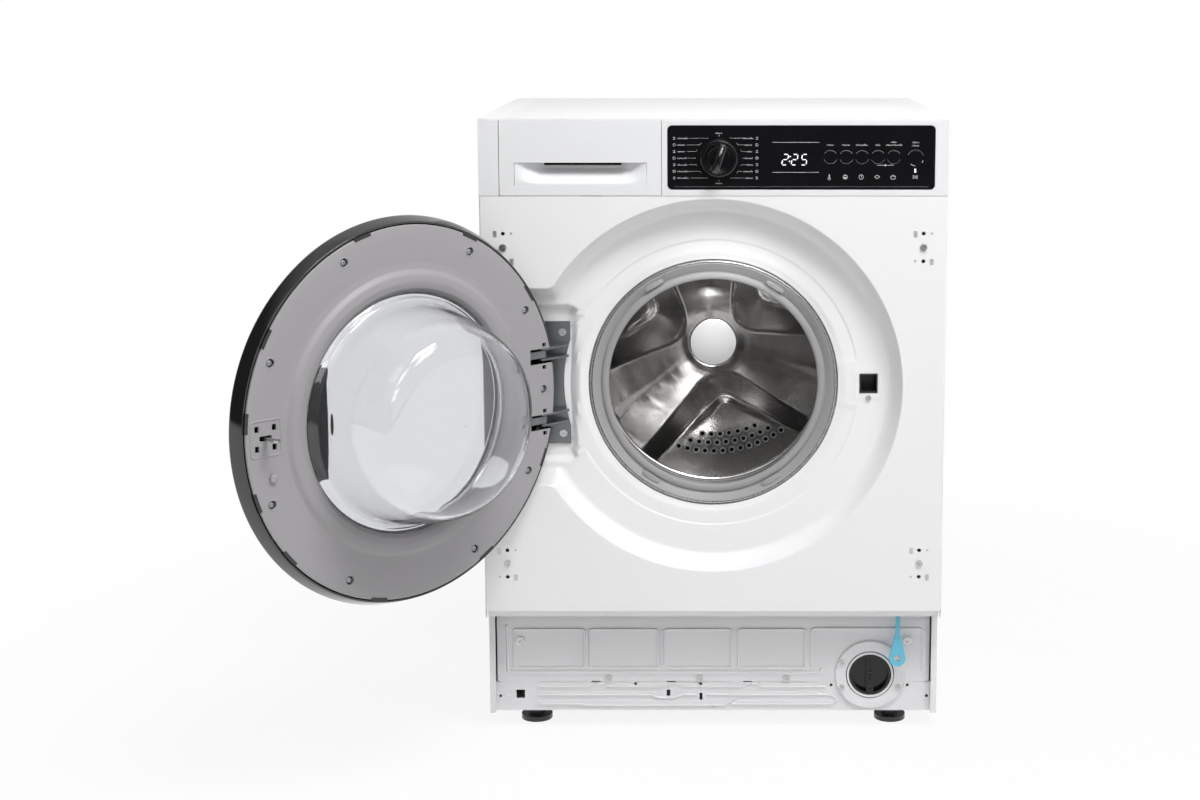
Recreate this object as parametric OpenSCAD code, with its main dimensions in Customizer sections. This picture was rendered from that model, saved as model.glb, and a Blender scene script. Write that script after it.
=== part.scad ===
// Integrated washing machine, door open, every other moving piece at rest.
// The frame has +X to the right seen from the front, +Y into the machine and +Z up.
// The origin lies on the floor, at the centre of the four levelling feet.

/* [Cabinet] */
// Width of the cabinet
body_w = 596; // [590:1:610]
// Height from the floor to the top with the feet screwed in
body_h = 820; // [815:1:840]
// Depth from the front panel to the back of the rear cover
body_d = 540; // [530:1:600]
// Thickness of the steel sheets
sheet_t = 1; // [0.8:0.1:1.4]
// Height of the base tray above the floor
foot_gap = 24; // [20:1:28]
// Height of the front panel's lower edge above the floor
plinth_h = 176; // [170:1:180]
// Distance of the plinth behind the front panel
plinth_set = 40; // [34:1:44]
// Height of the control fascia
fascia_h = 98; // [94:1:100]
// Distance of the feet from the middle, across
foot_x = 240; // [225:1:250]
// Distance of the feet from the middle, front to back
foot_y = 180; // [170:1:190]
// Radius of a foot's pad
foot_r = 21; // [18:0.5:24]
// Radius of a foot's threaded stem
foot_stem_r = 5; // [4:0.5:6]

/* [Door and seal] */
// Height of the drum's axis above the floor
drum_z = 474; // [470:1:478]
// Outer radius of the door
door_r = 239; // [236:1:240]
// Radius of the door's clear window
window_r = 147; // [145:1:149]
// Depth of the door from its outer face to its inner face
door_t = 28; // [26:1:30]
// How far the door's outer face stands in front of the front panel when closed
door_proud = 6; // [4:1:8]
// Angle by which the door stands open
door_open = 135; // [90:1:150]
// Radius of the circle of door screws
door_screw_pcr = 211; // [205:1:215]
// Length of the glass bowl behind the door's inner face
bowl_l = 108; // [90:1:115]
// Wall of the glass bowl
bowl_t = 4.5; // [3.5:0.5:6]
// Inner radius of the seal's front lip
lip_r = 136; // [135:0.5:140]
// Outer radius of the seal's front ring
seal_r = 158; // [156:0.5:159]
// Radius of the hinge pins
hinge_pin_r = 3; // [2.5:0.25:4]

/* [Controls] */
// Width of the drawer front
drawer_w = 206; // [196:1:210]
// Travel of the drawer
drawer_travel = 200; // [150:5:205]
// Width of the black control panel
panel_w = 339; // [325:1:345]
// Height of the black control panel
panel_h = 81; // [76:1:84]
// Radius of the programme knob
knob_r = 24; // [20:0.5:26]
// Radius of an option button
button_r = 7.7; // [6:0.1:8.5]
// Distance between the option buttons
button_pitch = 20.1; // [19.5:0.1:21]
// Radius of the start button
start_r = 9.1; // [8:0.1:10]

/* [Washing unit] */
// Outer radius of the drum
drum_r = 240; // [232:1:242]
// Length of the drum
drum_l = 300; // [285:1:302]
// Outer radius of the tub
tub_r = 258; // [256:1:262]
// Wall of the tub
tub_t = 5; // [4:0.5:6]
// Radius of the drum shaft
shaft_r = 12.5; // [10:0.5:15]
// Radius of the drum pulley
pulley_r = 130; // [110:1:140]
// Radius of the motor pulley
motor_pulley_r = 10; // [8:0.5:13]
// Radius of the motor's body
motor_r = 55; // [48:1:58]
// Radius of the drain filter's cap
filter_r = 27.7; // [25:0.1:29]

/* [Hidden] */
$fn = 64;
// General clearance between pieces that don't move on each other
gap = 0.3;
// Radial clearance of shafts and pins in their bores
run = 0.05;

// Cabinet planes, measured along Y and Z
half_w = body_w / 2;
y_front = -body_d / 2;
y_back = body_d / 2;
cover_bulge = 12;
y_rear = y_back - cover_bulge;
fascia_z = body_h - fascia_h;
top_lip = 8;
top_show = 3;
return_l = 14;
flange_l = 12;
y_plinth = y_front + plinth_set;
y_kick = y_plinth + 10;
kick_z0 = 65;
kick_z1 = plinth_h - 11;
rail_inset = 12;
kick_screw_x = [-140, -18, 98];
kick_screw_z = 69;
side_y0 = y_front + return_l;
inner_w = half_w - sheet_t;

// Front panel recess, all depths behind the front plane
recess_r = door_r + 4;
recess_floor = door_t - door_proud + 8;
ring_d = recess_floor + 1;
well_d = recess_floor + 3;
ring_r1 = 190;
ring_r0 = 173;
step_w = 11;
neck_r = seal_r + 4;
neck_l = 12;
pocket_d = recess_floor + 9;
pocket_h = 256;

// Door hinge: the axis lies inside the door's rim
hinge_x = -(door_r - 18.4);
hinge_w = 8;
pocket_x0 = -(door_r + 13);
pocket_x1 = hinge_x + 39.6;
bracket_x1 = hinge_x + 34.6;
bracket_screw_x = hinge_x + 24.6;
bracket_screw_dz = 67;
y_hinge = y_front + hinge_w;
arm_h = 10;
arm_z = 43;
lug_t = 3;
lug_gap = 0.5;
bracket_t = 3;
bracket_h = 162;

// Furniture hinge hole groups
group_x = 268;
group_z_top = body_h - 164;
group_z_low = 241;
group_dz = 17.8;
group_dx = 10.5;
hole_big_r = 2.5;
hole_small_r = 1.6;
slot_w = 5;
slot_h = 8.5;

// Lock
lock_x = door_r - 37;
lock_w = 24;
lock_h = 26;
lock_depth = 38;
hook_x = lock_x;

// Drawer, panel and controls
drawer_x0 = -271.7;
drawer_x1 = drawer_x0 + drawer_w;
seam = 0.6;
fascia_t = 3;
fascia_d = 20;
tray_z0 = body_h - 74;
tray_h = 52;
tray_d = drawer_travel + 25;
tray_wall = 2;
housing_gap = 0.5;
housing_t = 2;
panel_x = 111.5;
panel_z = body_h - 49.3;
panel_corner = 6;
knob_x = 7.2;
knob_z = body_h - 50;
knob_d = 20;
button_x0 = 148.3;
button_z = body_h - 48.7;
button_d = 6;
button_show = 0.6;
button_travel = 1.5;
start_x = 256.3;
start_z = button_z - 0.9;

// Washing unit planes, measured along Y
y_drum0 = y_front + 112;
y_drum1 = y_drum0 + drum_l;
y_hub = y_front + 346;
y_tub0 = y_front + 103;
y_tub_split = y_front + 298;
y_tub1 = y_front + 470;
y_neck0 = y_front + 91.5;
tub_neck_r = neck_r + 4;
y_weight0 = y_front + 80;
flange_r = tub_r + 8;
hub_r = 45;
bearing_r = 31;
y_pulley0 = y_tub1 + 20;
pulley_w = 12;
motor_x = -120;
motor_z = 150;
motor_l = 120;
drum_angle = 39;
pocket_half = 38;
lifter_h = 55;

// Filter, damper and spring places
filter_x = 209.5;
filter_z = 75;
damper_x = 200;
damper_y = y_front + 320;
damper_r = 14;
rod_r = 5;
damper_top = 200;
rod_top = drum_z - sqrt(tub_r * tub_r - damper_x * damper_x) - 21;
spring_x = 272;
spring_y = y_front + 278;
spring_r = 10;
lug_dz = 126;
lug_x0 = sqrt(tub_r * tub_r - lug_dz * lug_dz) - 3;
spring_z0 = drum_z + lug_dz;
spring_z1 = body_h - 50;

// A flat outline drawn in X and Z, extruded from y0 to y1
module slab(y0, y1) {
  translate([0, y1, 0]) rotate([90, 0, 0]) linear_extrude(y1 - y0) children();
}

// A box between two corners
module box(a, b) {
  translate(a) cube([b[0] - a[0], b[1] - a[1], b[2] - a[2]]);
}

// A profile in radius and Y, turned about an axis along Y at the place given
module turn_y(x, z) {
  translate([x, 0, z]) rotate([-90, 0, 0]) rotate_extrude($fn = 128) children();
}

// A cylinder along Y
module rod_y(x, z, r, y0, y1) {
  translate([x, y0, z]) rotate([-90, 0, 0]) cylinder(h = y1 - y0, r = r);
}

// A rectangle with round corners, centred
module round_rect(w, h, r) {
  square([w - 2 * r, h], center = true);
  square([w, h - 2 * r], center = true);
  for (sx = [-1, 1], sz = [-1, 1])
    translate([sx * (w / 2 - r), sz * (h / 2 - r)]) circle(r);
}

// Puts a piece drawn on the closed door where the open door stands
module on_open_door() {
  translate([hinge_x, y_hinge, 0]) rotate([0, 0, -door_open])
    translate([-hinge_x, -y_hinge, 0]) children();
}

// Side wall: outer sheet, front and plinth flanges, and a bracket for the spring
module side_panel(s) {
  x0 = half_w - sheet_t;
  z_top = body_h - top_lip;
  mirror([s < 0 ? 1 : 0, 0, 0]) {
    difference() {
      box([x0, side_y0, foot_gap], [half_w, y_rear, z_top]);
      box([x0 - 1, side_y0 - 1, foot_gap - 1], [half_w + 1, y_plinth, plinth_h]);
      box([x0 - 1, side_y0 - 1, fascia_z - 1], [half_w + 1, y_front + fascia_d + gap, z_top + 1]);
    }
    box([half_w - flange_l, side_y0, plinth_h + sheet_t + gap],
        [x0, side_y0 + sheet_t, body_h - fascia_h - 2]);
    box([half_w - flange_l + 4, y_plinth, foot_gap], [x0, y_plinth + sheet_t, plinth_h]);
    box([half_w - flange_l, y_rear - sheet_t, foot_gap + 2], [x0, y_rear, z_top - 2]);
    difference() {
      box([spring_x - spring_r, spring_y - 14, spring_z1], [x0, spring_y + 14, spring_z1 + 3]);
      translate([spring_x, spring_y, spring_z1 - 1]) cylinder(h = 5, r = 2);
    }
  }
}
module left_side_panel() { color("gainsboro") side_panel(-1); }
module right_side_panel() { color("gainsboro") side_panel(1); }

// Back wall with the access hole behind the drum pulley and the holes for the fittings
access_r = pulley_r + 14;
outlet_x = -205;
outlet_z = body_h - 105;
outlet_r = 9.5;
gland_x = -120;
gland_z = body_h - 80;
gland_r = 9;
valve_x = 190;
valve_z = body_h - 75;
valve_r = 13.2;
valve_l = 9;
module rear_panel() {
  color("silver") difference() {
    box([-inner_w, y_rear, foot_gap + 2], [inner_w, y_rear + sheet_t, body_h - 10]);
    rod_y(0, drum_z, access_r, y_rear - 1, y_rear + 2);
    rod_y(outlet_x, outlet_z, outlet_r + 2, y_rear - 1, y_rear + 2);
    rod_y(gland_x, gland_z, gland_r + 1, y_rear - 1, y_rear + 2);
    rod_y(valve_x, valve_z, valve_r + 4, y_rear - 1, y_rear + 2);
    for (i = [0:5], j = [0:1])
      translate([-60 + i * 20, 0, 90 + j * 20]) slab(y_rear - 1, y_rear + 2) round_rect(12, 5, 2.4);
  }
}

// Dished cover over the drum pulley
module rear_service_cover() {
  y0 = y_rear + sheet_t;
  color("silver") turn_y(0, drum_z)
    polygon([[0, y_back - sheet_t], [access_r - 20, y_back - sheet_t], [access_r - 4, y0],
             [access_r + 22, y0], [access_r + 22, y0 + sheet_t], [access_r - 3, y0 + sheet_t],
             [access_r - 19, y_back], [0, y_back]]);
}

// Top plate: a shallow tray with its lips turned down over the side walls
module top_cover() {
  color("whitesmoke") difference() {
    box([-half_w, y_front + 2, body_h - top_lip], [half_w, y_rear + sheet_t + 1, body_h]);
    box([-half_w + sheet_t, y_front + 2 + sheet_t, body_h - top_lip - 1],
        [half_w - sheet_t, y_rear + sheet_t, body_h - sheet_t]);
    box([-half_w - 1, y_front, body_h - top_lip - 1],
        [half_w + 1, y_front + fascia_d + 1, body_h - top_show]);
    box([-half_w - 1, y_front, body_h - top_lip - 1],
        [half_w + 1, y_rear - 1, body_h - top_lip]);
  }
}

// One hollow of the base tray's front rail: a raised bead
bead_h = 1.5;
module bead(x0, x1, z0, z1, y) {
  translate([(x0 + x1) / 2, 0, (z0 + z1) / 2])
    slab(y - bead_h, y + 0.5) round_rect(x1 - x0, z1 - z0, min(x1 - x0, z1 - z0) / 2 - 0.1);
}

// Base tray: floor, upturned walls, front rail with its beads and the nuts of the feet
wall_h = 40;
nut_r = 16;
nut_h = 14;
dome_r = 48;
module base_tray() {
  w = inner_w - gap;
  y1 = y_rear - sheet_t - gap;
  color("gainsboro") difference() {
    union() {
      difference() {
        box([-w, y_kick, foot_gap], [w, y1, foot_gap + wall_h]);
        box([-w + sheet_t, y_kick + sheet_t, foot_gap + sheet_t],
            [w - sheet_t, y1 - sheet_t, foot_gap + wall_h + 1]);
      }
      box([-w + rail_inset, y_kick, foot_gap], [w - rail_inset, y_kick + sheet_t, kick_z0 + 8]);
      for (x = [-foot_x, foot_x], y = [-foot_y, foot_y])
        translate([x, y, foot_gap]) cylinder(h = nut_h, r = nut_r);
      for (s = [-1, 1])
        box([s * damper_x - 16, damper_y - 16, foot_gap],
            [s * damper_x + 16, damper_y + 16, foot_gap + 6]);
      bead(-236, -168, 56, 62, y_kick);
      bead(-137, -69, 56, 62, y_kick);
      bead(-45, 20, 56, 62, y_kick);
      bead(60, 140, 56, 62, y_kick);
      bead(-236, -76, 44, 50, y_kick);
      bead(20, 140, 44, 50, y_kick);
      bead(-236, -20, 31, 38, y_kick);
      bead(30, 160, 31, 38, y_kick);
    }
    for (x = [-foot_x, foot_x], y = [-foot_y, foot_y])
      translate([x, y, foot_gap - 1]) cylinder(h = nut_h + 2, r = foot_stem_r + run);
    box([-264, y_kick - 2, 41], [-252.5, y_kick + 2, 52.5]);
    for (x = [-157, -56, 46]) box([x - 6, y_kick - 1, 63], [x + 6, y_kick + 2, 65]);
    box([-62.5, y_kick - 2, 44], [-57.5, y_kick + 2, 52.5]);
    box([-18.5, y_kick - 2, 38.5], [-14.5, y_kick + 2, 48]);
    for (p = [[-104, 61], [-17, 61], [0, 30], [158, 59], [260, 59], [286, 44], [-285, 44]])
      rod_y(p[0], p[1], 2, y_kick - 2, y_kick + 2);
    for (x = kick_screw_x) rod_y(x, kick_screw_z, 2.2 + run, y_kick - 2, y_kick + 2);
    rod_y(filter_x, filter_z, dome_r + gap, y_kick - 2, y_kick + sheet_t + 0.5);
  }
}

// Kick plate with its pressed frame of beads and the dome round the filter
dome_d = 4;
filter_hole_r = filter_r + 4.6;
module kick_bead(x0, z0, x1, z1) {
  bead(min(x0, x1), max(x0, x1), min(z0, z1), max(z0, z1), y_kick - sheet_t);
}
module kick_plate() {
  y0 = y_kick - sheet_t;
  w = inner_w - gap;
  frame_x0 = -281;
  frame_x1 = 147;
  frame_z0 = 74;
  frame_z1 = 142;
  color("gainsboro") difference() {
    union() {
      difference() {
        union() {
          box([-w + 8, y0, kick_z0], [w - 8, y_kick, kick_z1]);
          box([-w + 8, y0, kick_z1 - sheet_t], [w - 8, y_kick + 14, kick_z1]);
        }
        rod_y(filter_x, filter_z, dome_r - 3, y0 - 1, y_kick + 1);
      }
      turn_y(filter_x, filter_z)
        polygon([[filter_hole_r, y0 - dome_d], [dome_r - 2.5, y0 - dome_d], [dome_r - 0.5, y0],
                 [dome_r, y0], [dome_r, y_kick], [dome_r - 2, y_kick],
                 [dome_r - 4, y_kick - dome_d], [filter_hole_r, y_kick - dome_d]]);
      kick_bead(frame_x0, frame_z0, frame_x1, frame_z0 + 4);
      kick_bead(frame_x0, frame_z0, frame_x0 + 4, frame_z1);
      kick_bead(-271, 81, -178, 85);
      kick_bead(-169, 81, -74, 85);
      kick_bead(-68, 81, 24, 85);
      kick_bead(34, 81, 124, 85);
      for (x = [-178, -169, -74, -68, 24, 34, 124, 133]) kick_bead(x - 1.5, 83, x + 1.5, 136);
      kick_bead(278, 84, 284, 136);
    }
    for (x = [-258, 259]) rod_y(x, 121, 3 + run, y0 - 5, y_kick + 2);
    for (x = kick_screw_x) rod_y(x, kick_screw_z, 2.2 + run, y0 - 5, y_kick + 2);
    for (sx = [-1, 1], sz = [-1, 1])
      rod_y(filter_x + sx * filter_screw_dx, filter_z + sz * filter_screw_dz, 1.8 + run, y0 - 8, y_kick + 2);
  }
}

// Air inside the recess of the front panel
module recess_air(d) {
  turn_y(0, drum_z)
    polygon([[0, y_front - 2], [recess_r + d, y_front - 2], [recess_r + d, y_front],
             [recess_r - step_w + d, y_front + recess_floor - d], [0, y_front + recess_floor - d]]);
}
module hinge_pocket(d, y0 = y_front - 2) {
  box([pocket_x0 - d, y0, drum_z - pocket_h / 2 - d],
      [pocket_x1 + d, y_front + pocket_d + d, drum_z + pocket_h / 2 + d]);
}

// Holes for the furniture door's hinges: one group at each corner of the front panel
module hinge_group(sx, top) {
  z = top ? group_z_top : group_z_low;
  for (dz = [-group_dz, group_dz]) {
    rod_y(sx * group_x, z + dz, hole_big_r, y_front - 1, y_front + 4);
    flip = dz > 0 ? 1 : -1;
    rod_y(sx * group_x + flip * group_dx, z + dz, hole_small_r, y_front - 1, y_front + 4);
    translate([sx * group_x - flip * group_dx, 0, z + dz - 1])
      slab(y_front - 1, y_front + 4) square([slot_w, slot_h], center = true);
  }
  rod_y(sx * group_x, z, 2.6, y_front - 1, y_front + 4);
}

// Front panel: pressed recess, hinge pocket, sealing neck, edge returns and lip
module front_panel() {
  z1 = body_h - fascia_h - seam;
  yb = y_front + recess_floor;
  color("white") difference() {
    union() {
      difference() {
        union() {
          box([-half_w, y_front, plinth_h], [half_w, y_front + sheet_t, z1]);
          for (s = [-1, 1])
            box([s > 0 ? half_w - sheet_t : -half_w, y_front, kick_z1 + 1],
                [s > 0 ? half_w : -half_w + sheet_t, side_y0, z1]);
          box([-half_w, y_front, plinth_h], [half_w, y_front + rail_inset, plinth_h + sheet_t]);
          box([-half_w + rail_inset, y_front + rail_inset - sheet_t, kick_z1 + 1],
              [half_w - rail_inset, y_front + rail_inset, plinth_h + sheet_t]);
        }
        recess_air(0);
        hinge_pocket(0);
      }
      difference() {
        turn_y(0, drum_z)
          polygon([[recess_r + 2, y_front], [recess_r + 2, y_front + sheet_t],
                   [recess_r - step_w + 2, yb + sheet_t],
                   [ring_r1, yb + sheet_t], [ring_r1 - 3, y_front + ring_d + sheet_t],
                   [ring_r0, y_front + ring_d + sheet_t], [neck_r + 5, y_front + well_d + sheet_t],
                   [neck_r + sheet_t, y_front + well_d + sheet_t],
                   [neck_r + sheet_t, y_front + well_d + neck_l],
                   [neck_r, y_front + well_d + neck_l], [neck_r, y_front + well_d - 2],
                   [neck_r + 2, y_front + well_d - 2], [neck_r + 4, y_front + well_d],
                   [ring_r0, y_front + ring_d], [ring_r1 - 3, y_front + ring_d], [ring_r1, yb],
                   [recess_r - step_w, yb], [recess_r, y_front]]);
        hinge_pocket(0);
      }
      difference() {
        hinge_pocket(sheet_t, y_front);
        hinge_pocket(0);
        recess_air(0);
      }
      pull_guide();
    }
    for (s = [-1, 1])
      rod_y(bracket_screw_x, drum_z + s * bracket_screw_dz, 2.5 + run,
            y_front + pocket_d - 1, y_front + pocket_d + 2);
    for (sx = [-1, 1], top = [false, true]) hinge_group(sx, top);
    box([lock_x - lock_w / 2, yb - 6, drum_z - lock_h / 2],
        [lock_x + lock_w / 2, yb + 4, drum_z + lock_h / 2]);
    rod_y(lock_x, drum_z + 23, 2.2, yb - 1, yb + 2);
    rod_y(lock_x, drum_z - 19, 2 + run, yb - 1, yb + 2);
  }
}

// Control fascia: a moulded strip with the drawer's opening and the panel's window
fascia_top = body_h - top_show;
fascia_h2 = fascia_top - fascia_z;
window_gap = 0.4;
bridge_z = tray_z0 + tray_h + 6;
module fascia_outline(w) {
  difference() {
    translate([-half_w, fascia_z]) square([body_w, fascia_h2]);
    translate([drawer_x0 - seam, fascia_z - 1]) square([drawer_w + 2 * seam, fascia_h2 + 2]);
    translate([panel_x, panel_z])
      round_rect(panel_w + 2 * window_gap - w, panel_h + 2 * window_gap - w, panel_corner);
  }
}
module control_fascia() {
  color("white") {
    difference() {
      union() {
        slab(y_front, y_front + fascia_t) fascia_outline(0);
        slab(y_front + fascia_t, y_front + fascia_t + 2) fascia_outline(8);
        for (x = [-half_w, drawer_x0 - seam - 2, drawer_x1 + seam, half_w - 2])
          box([x, y_front + fascia_t, fascia_z], [x + 2, y_front + fascia_d, fascia_top]);
        box([drawer_x0 - seam - 2, y_front + fascia_d - 1 + gap, bridge_z],
            [drawer_x1 + seam + 2, y_front + fascia_d + 2, fascia_top]);
        box([drawer_x1 + seam, y_front + fascia_t, fascia_z], [half_w, y_front + fascia_d, fascia_z + 2]);
        box([drawer_x1 + seam, y_front + fascia_t, fascia_top - 2], [half_w, y_front + fascia_d, fascia_top]);
      }
      box([drawer_x0 - seam - 3, y_front + fascia_t + 1, tray_z0 - housing_gap - housing_t - 1],
          [drawer_x0 - seam + 0.01, y_front + fascia_d + 1, fascia_top - 8]);
    }
  }
}

// Black control panel, seated in the window of the fascia, with holes for knob and buttons
panel_t = 2.4;
shaft_hole_r = 4;
button_gap = 0.3;
module control_panel() {
  color([0.04, 0.04, 0.045]) difference() {
    union() {
      translate([panel_x, 0, panel_z])
        slab(y_front - 0.4, y_front + panel_t) round_rect(panel_w, panel_h, panel_corner);
      translate([panel_x + 4, 0, panel_z])
        slab(y_front + fascia_t + 2, y_front + fascia_t + 14) round_rect(panel_w - 20, panel_h - 22, 2);
      translate([panel_x, 0, panel_z])
        slab(y_front + panel_t, y_front + fascia_t + 2) round_rect(panel_w - 24, panel_h - 26, 2);
    }
    rod_y(knob_x, knob_z, shaft_hole_r + gap, y_front - 2, y_front + 12);
    for (i = [0:4])
      rod_y(button_x0 + i * button_pitch, button_z, button_r + button_gap, y_front - 2, y_front + 9);
    rod_y(start_x, start_z, start_r + button_gap, y_front - 2, y_front + 9);
  }
}

// Programme knob: dished dial with a raised grip bar and its shaft
knob_gap = 0.5;
grip_tilt = -18;
module programme_knob() {
  y0 = y_front - 0.4 - knob_gap;
  color([0.05, 0.05, 0.055]) {
    turn_y(knob_x, knob_z)
      polygon([[0, y0 - 6], [knob_r - 9, y0 - 6], [knob_r - 5, y0 - 9], [knob_r - 2, y0 - 9],
               [knob_r, y0 - 7], [knob_r, y0], [0, y0]]);
    intersection() {
      translate([knob_x, 0, knob_z]) rotate([0, -grip_tilt, 0])
        slab(y0 - knob_d, y0 - 5.5) round_rect(12, 2 * knob_r - 8, 3);
      rod_y(knob_x, knob_z, knob_r - 4, y0 - knob_d, y0);
    }
    rod_y(knob_x, knob_z, shaft_hole_r, y0 - 1, y_front + 11);
  }
}

// Press button with its stem; it slides in the panel's hole
module press_button(x, z, r) {
  y0 = y_front - 0.4 - button_show;
  color([0.06, 0.06, 0.065]) {
    rod_y(x, z, r, y0, y0 + button_d);
    rod_y(x, z, r * 0.45, y0 + button_d - 0.5, y_front + 9 - button_travel - gap);
  }
}
module option_button(i) { press_button(button_x0 + (i - 1) * button_pitch, button_z, button_r); }
module option_button_1() { option_button(1); }
module option_button_2() { option_button(2); }
module option_button_3() { option_button(3); }
module option_button_4() { option_button(4); }
module option_button_5() { option_button(5); }
module start_button() { press_button(start_x, start_z, start_r); }

// Drawer front with its sloping finger scoop
scoop_w = 168;
scoop_z0 = body_h - 86;
scoop_z1 = body_h - 56;
scoop_d = 16;
module drawer_front() {
  w = drawer_w;
  cx = drawer_x0 + w / 2;
  color("white") difference() {
    union() {
      box([drawer_x0, y_front, fascia_z], [drawer_x1, y_front + fascia_t, fascia_top]);
      box([drawer_x0, y_front, fascia_z], [drawer_x0 + 2, y_front + fascia_d - 1, fascia_top]);
      box([drawer_x1 - 2, y_front, fascia_z], [drawer_x1, y_front + fascia_d - 1, fascia_top]);
      box([cx - scoop_w / 2 - 2, y_front, scoop_z0 - 2],
          [cx + scoop_w / 2 + 2, y_front + scoop_d + 2, scoop_z1 + 2]);
    }
    translate([cx - scoop_w / 2, 0, 0]) rotate([90, 0, 90])
      linear_extrude(scoop_w)
        polygon([[y_front - 1, scoop_z0], [y_front, scoop_z0], [y_front + scoop_d, scoop_z1 - 9],
                 [y_front + scoop_d, scoop_z1], [y_front - 1, scoop_z1]]);
  }
}

// Drawer tray with three compartments
tray_y0 = y_front + scoop_d + 2;
tray_x0 = drawer_x0 + 10;
tray_x1 = drawer_x1 - 10;
module drawer_tray() {
  w = (tray_x1 - tray_x0 - 4 * tray_wall) / 3;
  y1 = y_front + tray_d;
  color("whitesmoke") difference() {
    box([tray_x0, tray_y0, tray_z0], [tray_x1, y1, tray_z0 + tray_h]);
    for (i = [0:2])
      box([tray_x0 + tray_wall + i * (w + tray_wall), tray_y0 + tray_wall, tray_z0 + tray_wall],
          [tray_x0 + (i + 1) * (w + tray_wall), y1 - tray_wall, tray_z0 + tray_h + 1]);
  }
}

// Dispenser housing round the tray, with its outlet towards the tub
outlet_stub_x = -168;
outlet_stub_r = 14;
housing_y1 = y_front + tray_d + 12;
module dispenser_housing() {
  g = housing_gap;
  t = housing_t;
  y0 = y_front + fascia_d + 1;
  color("whitesmoke") difference() {
    union() {
      box([tray_x0 - g - t, y0, tray_z0 - g - t], [tray_x1 + g + t, housing_y1, tray_z0 + tray_h + g + t]);
      translate([outlet_stub_x, housing_y1 - 30, tray_z0 - g - t - 12]) cylinder(h = 13, r = outlet_stub_r);
      box([inlet_pipe_x - 9, housing_y1 - 1, tray_z0 + 30],
          [inlet_pipe_x + 9, housing_y1 + 14, tray_z0 + 48]);
    }
    box([tray_x0 - g, y0 - 1, tray_z0 - g], [tray_x1 + g, housing_y1 - t, tray_z0 + tray_h + g]);
    translate([outlet_stub_x, housing_y1 - 30, tray_z0 - g - t - 13]) cylinder(h = 16, r = outlet_stub_r - 2);
    rod_y(inlet_pipe_x, tray_z0 + 39, 5, housing_y1 - t - 1, housing_y1 + 15);
  }
}

// Water inlet valve with its threaded spigot through the rear wall
inlet_pipe_x = tray_x1 - 20;
module inlet_valve() {
  y1 = y_rear + sheet_t;
  color("ivory") difference() {
    union() {
      rod_y(valve_x, valve_z, valve_r, y_rear - 6, y1 + valve_l + 2);
      rod_y(valve_x, valve_z, valve_r + 7, y_rear - 4, y_rear);
      box([valve_x - 15, y_rear - 50, valve_z - 15], [valve_x + 15, y_rear - 4, valve_z + 15]);
      box([valve_x - 12, y_rear - 46, valve_z + 14], [valve_x + 12, y_rear - 12, valve_z + 50]);
    }
    rod_y(valve_x, valve_z, valve_r - 3.5, y_rear - 20, y1 + valve_l + 3);
  }
  // supply pipe from the valve to the dispenser
  color("dimgray") {
    z = tray_z0 + 39;
    box([inlet_pipe_x - 5, housing_y1 + 14.3, z - 5], [inlet_pipe_x + 5, y_rear - 40, z + 5]);
    box([inlet_pipe_x - 5, y_rear - 50, z - 5], [valve_x - 12, y_rear - 40, z + 5]);
  }
}

// Rubber bellows: dispenser to tub, and tub sump to drain pump
sump_x = 60;
sump_y = y_front + 190;
sump_z0 = 172;
module bellows(r, h, n) {
  pitch = h / n;
  rotate_extrude() difference() {
    union() {
      square([r, h]);
      for (i = [0:n - 1]) translate([r, (i + 0.5) * pitch]) circle(pitch * 0.32, $fn = 16);
    }
    translate([0, -1]) square([r - 2, h + 2]);
  }
}
module tub_hoses() {
  stub_z = tray_z0 - housing_gap - housing_t - 12;
  color([0.15, 0.15, 0.15]) {
    translate([outlet_stub_x, housing_y1 - 30, tub_stub_z + gap])
      bellows(outlet_stub_r, stub_z - tub_stub_z - 2 * gap, 3);
    translate([sump_x, sump_y, pump_top + gap]) bellows(18, sump_z0 - pump_top - 2 * gap, 4);
  }
}

// Door seal: front ring gripping the panel's neck, bellows and rear collar on the tub
module door_seal() {
  y = y_front;
  w = well_d;
  color([0.55, 0.55, 0.56]) turn_y(0, drum_z)
    polygon([[lip_r, y + w - 2], [seal_r, y + w - 2], [seal_r, y + w + 3], [neck_r - gap, y + w + 3],
             [neck_r - gap, y + w + neck_l - 1], [neck_r - 5, y + w + neck_l + 1], [152, y + w + 25],
             [160, y + w + 35], [160, y + w + 44], [tub_neck_r + 10, y + w + 52],
             [tub_neck_r + 10, y + w + 66], [tub_neck_r + 3 + gap, y + w + 66],
             [tub_neck_r + 3 + gap, y + w + 58], [156.5, y + w + 48], [156.5, y + w + 37],
             [148, y + w + 26], [146, y + w + 16], [lip_r + 4, y + w + 8], [lip_r, y + w + 5]]);
}

// Spring wire that holds the seal's front ring, with its tensioner
clamp_wire_r = 1.4;
module seal_clamp() {
  color("silver") {
    turn_y(0, drum_z) translate([seal_r + gap + clamp_wire_r, y_front + well_d + 3 - gap - clamp_wire_r])
      circle(clamp_wire_r, $fn = 24);
    for (a = [-6:3:6])
      rotate_about_drum(-20 + a) translate([seal_r + gap + clamp_wire_r, 0, 0])
        rod_y(0, 0, clamp_wire_r + 0.3, y_front + well_d - 1, y_front + well_d + 2.7);
  }
}
module rotate_about_drum(a) {
  translate([0, 0, drum_z]) rotate([0, -a, 0]) children();
}

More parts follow.
